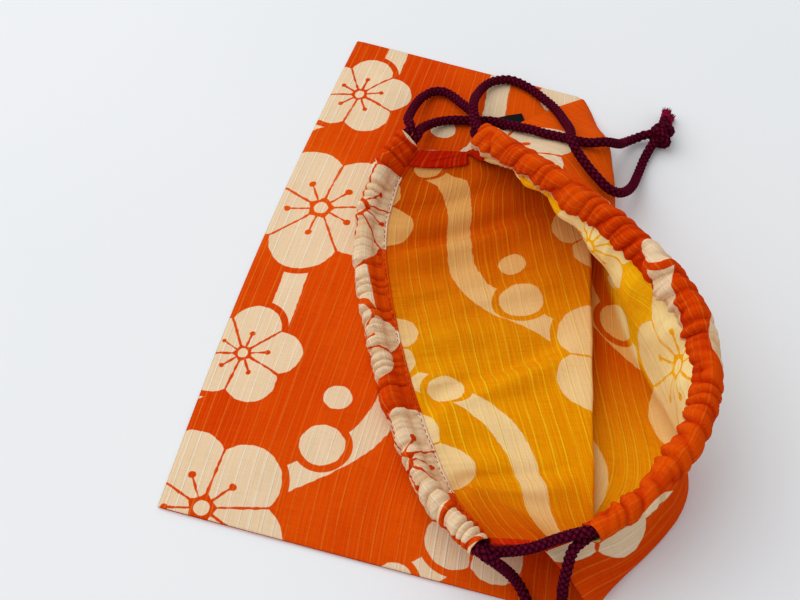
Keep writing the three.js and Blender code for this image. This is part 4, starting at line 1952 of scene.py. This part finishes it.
@dataclass
class Drawstring:
    """One braided cord, through both casings and out at one side.

    Attributes:
        name: The piece's name.
        node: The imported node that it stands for.
        runs: Its route in order: free lengths as points, and the stretches in the casings.
        braid: How it is braided.
    """

    name: str
    node: str
    runs: Sequence[Union[Array, list[Triple]]]
    braid: Braid = Braid()

    def build(
        self, origin: Array, material: bpy.types.Material, knot: bpy.types.Object
    ) -> bpy.types.Object:
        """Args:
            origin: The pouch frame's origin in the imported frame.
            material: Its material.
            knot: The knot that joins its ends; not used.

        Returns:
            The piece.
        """
        path = smooth_path(np.vstack(self.runs), self.braid.step)
        points, faces, shade = self.braid.tube(path)
        maker = MeshMaker(origin)
        maker.add(points, faces, CordFace.BRAIDED, shade)
        piece = maker.make(self.name, [material])
        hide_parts(self.node)
        return piece


@dataclass
class Knot:
    """An overhand knot in both ends of a drawstring, with two frayed tails along its own x.

    Attributes:
        name: The piece's name.
        node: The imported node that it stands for.
        place: Where it lies on the table.
        turn: Which way its tails point, in degrees.
        wrap_radius: Radius of the two turns round the ends.
        wrap_spacing: Distance between those turns.
        wrap_tilt: How far each turn is tilted, in degrees.
        tail_length: How far the tails stand out of the knot.
        tail_splay: How far each tail is splayed, in degrees.
        loose_share: Share of a tail that has come undone.
        fibres: Loose fibres at the end of a tail.
        fibre_radius: Their radius.
        fibre_taper: How thick a fibre is along its length, as shares of that.
        clear: How far the knot is held off the table.
        braid: How it is braided.
    """

    name: str
    node: str
    place: Pair
    turn: float
    wrap_radius: float = 3.9
    wrap_spacing: float = 4.2
    wrap_tilt: float = 22.0
    tail_length: float = 15.5
    tail_splay: float = 1.5
    loose_share: float = 0.32
    fibres: int = 170
    fibre_radius: float = 0.15
    fibre_taper: tuple[float, ...] = (1.0, 1.0, 0.9, 0.7, 0.15)
    clear: float = 0.1
    braid: Braid = Braid(sides=20, step=0.4)

    def placed(self, points: Array) -> Array:
        """Points of the knot's own frame, moved to where it lies."""
        height = self.wrap_radius + self.braid.diameter / 2 + self.clear
        return points @ spin(self.turn) + np.array([*self.place, height])

    def heart(self) -> Array:
        """The knot's middle, where the drawstring's ends go in."""
        return self.placed(np.zeros((1, 3)))

    def wrap(self, side: int) -> Array:
        """The centre line of one turn round the knot.

        Args:
            side: -1 for the first turn, 1 for the second.

        Returns:
            Points of a closed ring.
        """
        steps = round(2 * math.pi * self.wrap_radius / self.braid.step)
        angle = np.linspace(0, 2 * math.pi, steps, endpoint=False)
        ring = np.stack([0.5 * np.sin(2 * angle), np.cos(angle), np.sin(angle)], axis=1)
        ring[:, 1:] *= self.wrap_radius
        return ring @ spin(side * self.wrap_tilt) + TO_MOUTH * side * self.wrap_spacing / 2

    def tail(self, side: int) -> Array:
        """The centre line of one tail.

        Args:
            side: -1 for the first tail, 1 for the second.

        Returns:
            Points from inside the knot to the tail's end.
        """
        length = self.tail_length + (self.wrap_spacing + self.braid.diameter) / 2 - 3.0
        along = np.linspace(-2.0, length, round((length + 2) / self.braid.step))
        splay = side * math.radians(self.tail_splay)
        rise = side * 1.4 - 2.2 * ease(along, 3.0, length)
        return np.stack([along * math.cos(splay), along * math.sin(splay) + side * 0.7, rise], axis=1)

    def fray(self, maker: MeshMaker, side: int) -> None:
        """Adds the loose yarn at the end of a tail.

        Args:
            maker: The mesh that it is added to.
            side: -1 for the first tail, 1 for the second.
        """
        chance = np.random.default_rng(31 + side)
        end = self.tail(side)[-3]
        out = unit(end - self.tail(side)[-12])
        taper = np.array(self.fibre_taper)
        along = np.linspace(0, 1, len(taper))[:, None]
        angle = np.linspace(0, 2 * math.pi, 4, endpoint=False)
        ring = np.stack([0 * angle, np.cos(angle), np.sin(angle)], axis=1) * self.fibre_radius
        faces = grid_faces(len(taper), len(angle), closed=True)
        for _ in range(self.fibres):
            start = end + np.array([-1.2, *(chance.random(2) - 0.5) * 4.0])
            lean = out + (chance.random(3) - 0.5) * np.array([0.2, 0.5, 0.4])
            length = 2.0 + 2.0 * chance.random()
            line = start + unit(lean) * along * length - UP * along**2 * 0.8 * chance.random()
            points = line[:, None] + ring[None] * taper[:, None, None]
            points = self.placed(points.reshape(-1, 3))
            points[:, 2] = np.maximum(points[:, 2], self.clear / 2)
            maker.add(points, faces, CordFace.LOOSE)

    def build(self, origin: Array, materials: Sequence[bpy.types.Material]) -> bpy.types.Object:
        """Makes the piece.

        Args:
            origin: The pouch frame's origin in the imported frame.
            materials: The materials of the braid and of the loose yarn at the tails' ends.

        Returns:
            The piece.
        """
        maker = MeshMaker(origin)
        for side in (-1, 1):
            points, faces, shade = self.braid.tube(self.wrap(side), closed=True)
            maker.add(self.placed(points), faces, CordFace.BRAIDED, shade)
            points, faces, shade = self.braid.tube(self.tail(side))
            undone = np.arange(len(faces)) > (1 - self.loose_share) * len(faces)
            finish = np.where(undone, CordFace.LOOSE, CordFace.BRAIDED)
            maker.add(self.placed(points), faces, finish, shade)
            self.fray(maker, side)
        core = np.linspace(-4.5, 3.0, 20)[:, None] * TO_MOUTH
        points, faces, shade = self.braid.tube(core)
        maker.add(self.placed(points), faces, CordFace.BRAIDED, shade)
        piece = maker.make(self.name, materials)
        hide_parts(self.node)
        return piece


@dataclass
class Label:
    """A small blank tab of tape that lies on the front panel, one edge in the far seam.

    Attributes:
        form: The pouch's form.
        length: Its length.
        depth: Its other side.
        thickness: Its thickness.
        centre: Where its middle lies.
        turn: How far it is turned, in degrees.
        gap: How far it lies over the cloth.
        grid: Rows and columns of points on either face.
    """

    form: Form
    length: float = 16.0
    depth: float = 10.0
    thickness: float = 0.7
    centre: Pair = (92.1, 242.2)
    turn: float = 31.0
    gap: float = 0.35
    grid: tuple[int, int] = (25, 33)

    def build(self, origin: Array, material: bpy.types.Material) -> bpy.types.Object:
        """Makes the piece.

        Args:
            origin: The pouch frame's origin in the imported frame.
            material: Its material.

        Returns:
            The piece.
        """
        form = self.form
        down, over = np.meshgrid(*(np.linspace(-0.5, 0.5, count) for count in self.grid), indexing="ij")
        flat = np.stack([over * self.length, down * self.depth, 0 * over], axis=-1)
        turned = flat @ spin(self.turn)
        x, y = self.centre[0] + turned[..., 0], self.centre[1] + turned[..., 1]
        t = (y - form.across(0 * x, x)) / (form.across(1 + 0 * x, x) - form.across(0 * x, x))
        rest = form.pocket(np.clip(t, 0, 1), x) + form.cloth / 2 + self.gap + self.thickness / 2
        rest = rest + 0.12 * np.sin(9 * over + 2 * down)
        edge = np.minimum((0.5 - np.abs(over)) * self.length, (0.5 - np.abs(down)) * self.depth)
        half = self.thickness / 2 * np.sqrt(np.clip(edge / 0.5, 0.02, 1))
        sides = [np.stack([x, y, rest + half * way], axis=-1).reshape(-1, 3) for way in (1, -1)]
        faces, _ = sheet_faces(*self.grid, flipped=True)
        maker = MeshMaker(origin)
        maker.add(np.concatenate(sides), faces, cloth=np.tile(flat[..., :2].reshape(-1, 2), (2, 1)))
        piece = maker.make("label_tape", [material])
        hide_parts("label_tab")
        return piece


@dataclass
class Stitching:
    """The sewing thread of the two casings.

    Attributes:
        panels: The panels that it is sewn through.
        length: Length of a stitch.
        thickness: Thickness of the thread.
        rings: Rings of points along a stitch.
        sides: Points in a ring.
    """

    panels: Sequence[ClothPanel]
    length: float = 2.3
    thickness: float = 0.34
    rings: int = 7
    sides: int = 6

    def build(self, origin: Array, material: bpy.types.Material) -> bpy.types.Object:
        """Makes the piece.

        Args:
            origin: The pouch frame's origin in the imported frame.
            material: Its material.

        Returns:
            The piece.
        """
        maker = MeshMaker(origin)
        along = np.linspace(-0.5, 0.5, self.rings)
        swell = np.sqrt(np.clip(1 - (2 * along) ** 4, 0.02, 1))
        angle = np.linspace(0, 2 * math.pi, self.sides, endpoint=False)
        faces = grid_faces(self.rings, self.sides, closed=True)
        for panel in self.panels:
            for inner_side in (True, False):
                for middle, run, out in zip(*panel.stitches(inner_side)):
                    side = unit(np.cross(run, out))
                    ring = np.cos(angle)[:, None] * out + np.sin(angle)[:, None] * side
                    dip = out * (2 * along[:, None]) ** 4 * 0.2
                    line = middle + along[:, None] * run * self.length - dip
                    points = line[:, None] + ring[None] * (swell * self.thickness / 2)[:, None, None]
                    maker.add(points.reshape(-1, 3), faces)
        return maker.make("casing_thread", [material])


@dataclass
class Studio:
    """The table, the light and the camera.

    Attributes:
        eye: The camera's place in the pouch's frame, in millimetres.
        heading: Which way it looks, turned from +Y, in degrees.
        down: How far it looks down, in degrees.
        lens: Its focal length, in millimetres, on a 36 mm wide sensor.
        lamp_place: The lamp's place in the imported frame, in metres.
        lamp_size: Its side, in metres.
        lamp_power: Its power, in watts.
        lamp_colour: Its colour.
        room_colour: The colour of the light from all round.
        room_strength: The strength of that light.
        table: The table's finish.
        reach: Half the table's side, in metres.
    """

    eye: Triple = (161.48, -186.87, 507.48)
    heading: float = 16.47
    down: float = 57.0
    lens: float = 58.5
    lamp_place: Triple = (-1.4, 0.3, 1.9)
    lamp_size: float = 2.9
    lamp_power: float = 38.0
    lamp_colour: Colour = (1.0, 0.99, 0.97)
    room_colour: Colour = (0.965, 0.975, 1.0)
    room_strength: float = 0.6
    table: Table = Table(srgb(240, 242, 244), srgb(236, 239, 241))
    reach: float = 3.0

    def camera(self, origin: Array) -> None:
        """Adds the camera.

        Args:
            origin: The pouch frame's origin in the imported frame.
        """
        data = bpy.data.cameras.new("camera")
        data.lens, data.sensor_width, data.sensor_fit = self.lens, 36.0, "HORIZONTAL"
        data.clip_start, data.clip_end = 0.01, 50.0
        obj = bpy.data.objects.new("camera", data)
        obj.location = np.array(self.eye) * MM + origin
        obj.rotation_euler = (math.radians(90 - self.down), 0.0, math.radians(self.heading))
        bpy.context.scene.collection.objects.link(obj)
        bpy.context.scene.camera = obj

    def lamp(self) -> None:
        """Adds a soft square lamp that points at the middle of the table."""
        data = bpy.data.lights.new("window", "AREA")
        data.size, data.energy, data.color = self.lamp_size, self.lamp_power, self.lamp_colour
        obj = bpy.data.objects.new("window", data)
        obj.location = self.lamp_place
        obj.rotation_euler = (-Vector(self.lamp_place)).to_track_quat("-Z", "Y").to_euler()
        bpy.context.scene.collection.objects.link(obj)

    def light(self) -> None:
        """Adds soft daylight from the upper left and the pale room, and shows colours as they are."""
        scene = bpy.context.scene
        world = bpy.data.worlds.new("room")
        world.use_nodes = True
        ground = world.node_tree.nodes["Background"]
        ground.inputs["Color"].default_value = (*self.room_colour, 1.0)
        ground.inputs["Strength"].default_value = self.room_strength
        scene.world = world
        self.lamp()
        scene.view_settings.view_transform = "Standard"

    def lay_table(self) -> None:
        """Adds the table."""
        mesh = bpy.data.meshes.new("table")
        r = self.reach
        mesh.from_pydata([(-r, -r, 0), (r, -r, 0), (r, r, 0), (-r, r, 0)], [], [(0, 1, 2, 3)])
        mesh.materials.append(self.table.material())
        obj = bpy.data.objects.new("table", mesh)
        bpy.context.scene.collection.objects.link(obj)


# Points of the drawstrings outside the casings, from a casing to the knot or to the other casing

FAR_FRONT_END = [
    (53.6, 207.4, 23.9), (52.8, 213, 20.8), (53, 219, 16.4), (54.8, 225, 12.8),
    (59, 230.8, 10.2), (65.8, 234.2, 9.7), (74.6, 236.1, 9.8), (83, 237.5, 11),
    (89.6, 236.8, 12), (95.8, 234.5, 14.6), (104.4, 231.1, 18.9), (112.4, 227.9, 22),
    (120.1, 225.9, 24.4), (127.6, 223.8, 26.6), (134.5, 223.5, 27.6), (141.4, 227, 26.6),
    (147.5, 236, 16.9), (150, 246.2, 7), (154.6, 252.9, 4), (160, 255.6, 5.8),
]
FAR_BACK_END = [
    (80.2, 216.6, 29.6), (77.2, 224.8, 28.2), (75.2, 231.5, 26.2), (73.8, 240, 21.4),
    (73.1, 251, 13.8), (74.4, 261.3, 9), (78.1, 268.2, 6.6), (85.1, 272.4, 5.1),
    (94.8, 269.5, 5.9), (105.9, 261.7, 7.8), (112.5, 254, 11.6), (119.2, 241.1, 19),
    (124, 228.6, 27.5), (126.8, 217.3, 33), (131.4, 211.6, 32), (141.1, 203.2, 30),
    (148.8, 199.4, 27), (152.5, 200.3, 24.5), (155.2, 203.9, 20.7), (157.3, 209.4, 16.2),
    (159.1, 216.8, 11.5), (160.3, 230.3, 5), (161.4, 241.5, 3), (163.8, 251.7, 4.3),
]
FAR_BRIDGE = [
    (49.9, 208.9, 27.4), (46.9, 214.5, 25), (45.5, 222.9, 20), (45.2, 234.7, 14.5),
    (46.3, 243.9, 10.3), (49.9, 250.2, 8.6), (54.7, 251.8, 8.5), (59.9, 250, 9),
    (65.3, 245.4, 10.8), (69.9, 240.7, 13.6), (73.9, 236.1, 16.1), (76.9, 230.9, 18),
    (79, 224.5, 20.4), (79.6, 218, 22.4),
]
NEAR_BRIDGE = [
    (140.5, 8.8, 30), (145.8, 11, 28), (154.9, 14.4, 29.5), (163.4, 18.2, 35),
    (168.4, 19.4, 40.2),
]
NEAR_FRONT_END = [
    (138.6, 4.6, 34.4), (143.6, 4.6, 30), (147.1, 7, 20), (150.8, 7.8, 12.5),
    (154.5, 6.6, 7.4), (158, 2.8, 5.4), (162, -4.5, 3.2), (168, -14.5, 2.8),
    (180, -26, 2.8), (200, -33.5, 2.8), (220, -34, 2.8), (234.1, -31.3, 5.1),
]
NEAR_BACK_END = [
    (171.6, 17.4, 35.2), (170.7, 15, 30.6), (170.6, 11, 25), (171, 6.8, 16.4),
    (171.6, 6.6, 10), (172.4, 3.4, 6.4), (174.5, -3, 3.4), (179, -11, 2.8),
    (188, -18.5, 2.8), (203, -22.5, 2.8), (220, -23.2, 2.8), (235, -25.2, 5.4),
]


def casing_run(form: Form, lip: Lip, side: int, start: float, end: float) -> Array:
    """Points of a drawstring in a casing, beside the other one.

    Args:
        form: The pouch's sizes.
        lip: The casing's centre line.
        side: 1 next to the fold, -1 next to the stitch line.
        start: Share of the lip where it enters.
        end: Share of the lip where it leaves.

    Returns:
        The points.
    """
    inset = (end - start) * 0.03
    t = np.linspace(start + inset, end - inset, 15)
    return lip.strand(t, side * form.cord_offset)


def build_cords(form: Form, origin: Array) -> list[bpy.types.Object]:
    """Makes the two drawstrings and their knots.

    Args:
        form: The pouch's form.
        origin: The pouch frame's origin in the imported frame.

    Returns:
        The two cords, then their knots.
    """
    yarn = Yarn("braided_yarn", srgb(40, 2, 15), srgb(108, 14, 42)).material()
    loose = Yarn("loose_yarn", srgb(98, 6, 32), srgb(156, 24, 60), painted_strand_shade=False).material()
    tied_far = Knot("far_knot_yarn", "far_knot", place=(166.8, 256.6), turn=86.0)
    tied_near = Knot("near_knot_yarn", "near_knot", place=(240.0, -28.0), turn=8.0)
    far_knot = tied_far.build(origin, [yarn, loose])
    near_knot = tied_near.build(origin, [yarn, loose])
    far_cord = Drawstring(
        "far_cord",
        "far_drawstring",
        [
            tied_far.heart(),
            FAR_FRONT_END[::-1],
            casing_run(form, form.front_lip, side=-1, start=1, end=0),
            NEAR_BRIDGE,
            casing_run(form, form.back_lip, side=1, start=0, end=1),
            FAR_BACK_END,
            tied_far.heart(),
        ],
    ).build(origin, yarn, far_knot)
    near_cord = Drawstring(
        "near_cord",
        "near_drawstring",
        [
            tied_near.heart(),
            NEAR_FRONT_END[::-1],
            casing_run(form, form.front_lip, side=1, start=0, end=1),
            FAR_BRIDGE,
            casing_run(form, form.back_lip, side=-1, start=1, end=0),
            NEAR_BACK_END,
            tied_near.heart(),
        ],
    ).build(origin, yarn, near_knot)
    return [far_cord, near_cord, far_knot, near_knot]


def cloth_panels(form: Form) -> tuple[ClothPanel, ClothPanel]:
    """Lays out the front and the back panel.

    Args:
        form: The pouch's form.

    Returns:
        Both panels.
    """
    bottom_rows = np.array([0, 0.003, 0.007, 0.012])
    flat_rows = np.linspace(0, 1, 39)[1:]
    crease_rows = np.linspace(1, 2, 9)[1:]
    lip_rows = np.linspace(2, 3, 47)[1:]
    wall_rows = np.linspace(1, 3, 59)[1:]
    front = ClothPanel(
        "front_cloth",
        FrontPanel(form, form.front_lip),
        Gathers(count=33, depth=2.6, slant=-0.3, hem_share=0.5, pucker=0.3, seed=3),
        rows=np.concatenate([bottom_rows, flat_rows, crease_rows, lip_rows]),
        crumple=0.45,
        folds=(
            SoftFold(start=0.33, drift=0.13, depth=3.0, spread=0.032),
            SoftFold(start=0.14, drift=0.08, depth=2.2, spread=0.026),
            SoftFold(start=0.56, drift=0.05, depth=1.8, spread=0.028),
            SoftFold(start=0.72, drift=0.02, depth=1.6, spread=0.028),
        ),
        corner_tuck=1.5,
    )
    back = ClothPanel(
        "back_cloth",
        BackPanel(form, form.back_lip),
        Gathers(count=24, depth=3.2, slant=-0.95, hem_share=0.95, pucker=0.6, seed=8),
        rows=np.concatenate([bottom_rows, flat_rows, wall_rows]),
        crumple=0.5,
    )
    return front, back


def main() -> None:
    """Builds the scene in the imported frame."""
    logging.basicConfig(level=logging.INFO, format="%(name)s: %(message)s")
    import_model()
    form = Form()
    low = np.array(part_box("pouch_cloth")[0])
    origin = low + np.array([form.bottom_bow + form.cloth / 2, form.cloth / 2, 0.0]) * MM

    studio = Studio()
    studio.camera(origin)

    far_cord, near_cord, far_knot, near_knot = build_cords(form, origin)
    front, back = cloth_panels(form)
    outer = PrintedCotton("printed_cotton_outer", PRINTED).material()
    front_inner = PrintedCotton("printed_cotton_inner_front", INNER_FRONT_PAINTED_LIT, INNER_FRONT_PAINTED_SHADE).material()
    back_inner = PrintedCotton("printed_cotton_inner_back", INNER_BACK_PAINTED_LIT, INNER_BACK_PAINTED_SHADE).material()
    hems = PrintedCotton("printed_cotton_hem", RED_HEM, design=None).material()
    front_piece = front.build(origin, [outer, front_inner, hems])
    back_piece = back.build(origin, [outer, back_inner, hems])
    thread = Yarn("sewing_thread", srgb(158, 38, 14), srgb(190, 58, 24), painted_strand_shade=False).material()
    threads = Stitching([front, back]).build(origin, thread)
    label = Label(form).build(origin, WovenTape(srgb(9, 8, 9), srgb(32, 30, 33)).material())
    for piece in (front_piece, back_piece):
        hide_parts("pouch_cloth")
    flat = (form.width * MM, (form.height + form.turn_in) * MM)
    slots = {
        "printed_cotton": (front_piece, back_piece, threads),
        "braided_cord": (far_cord, near_cord, far_knot, near_knot),
        "black_tape": (label,),
    }
    for slot, pieces in slots.items():
        for piece in pieces:
            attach(piece, "root")

    studio.lay_table()
    studio.light()


if __name__ == "__main__":
    main()
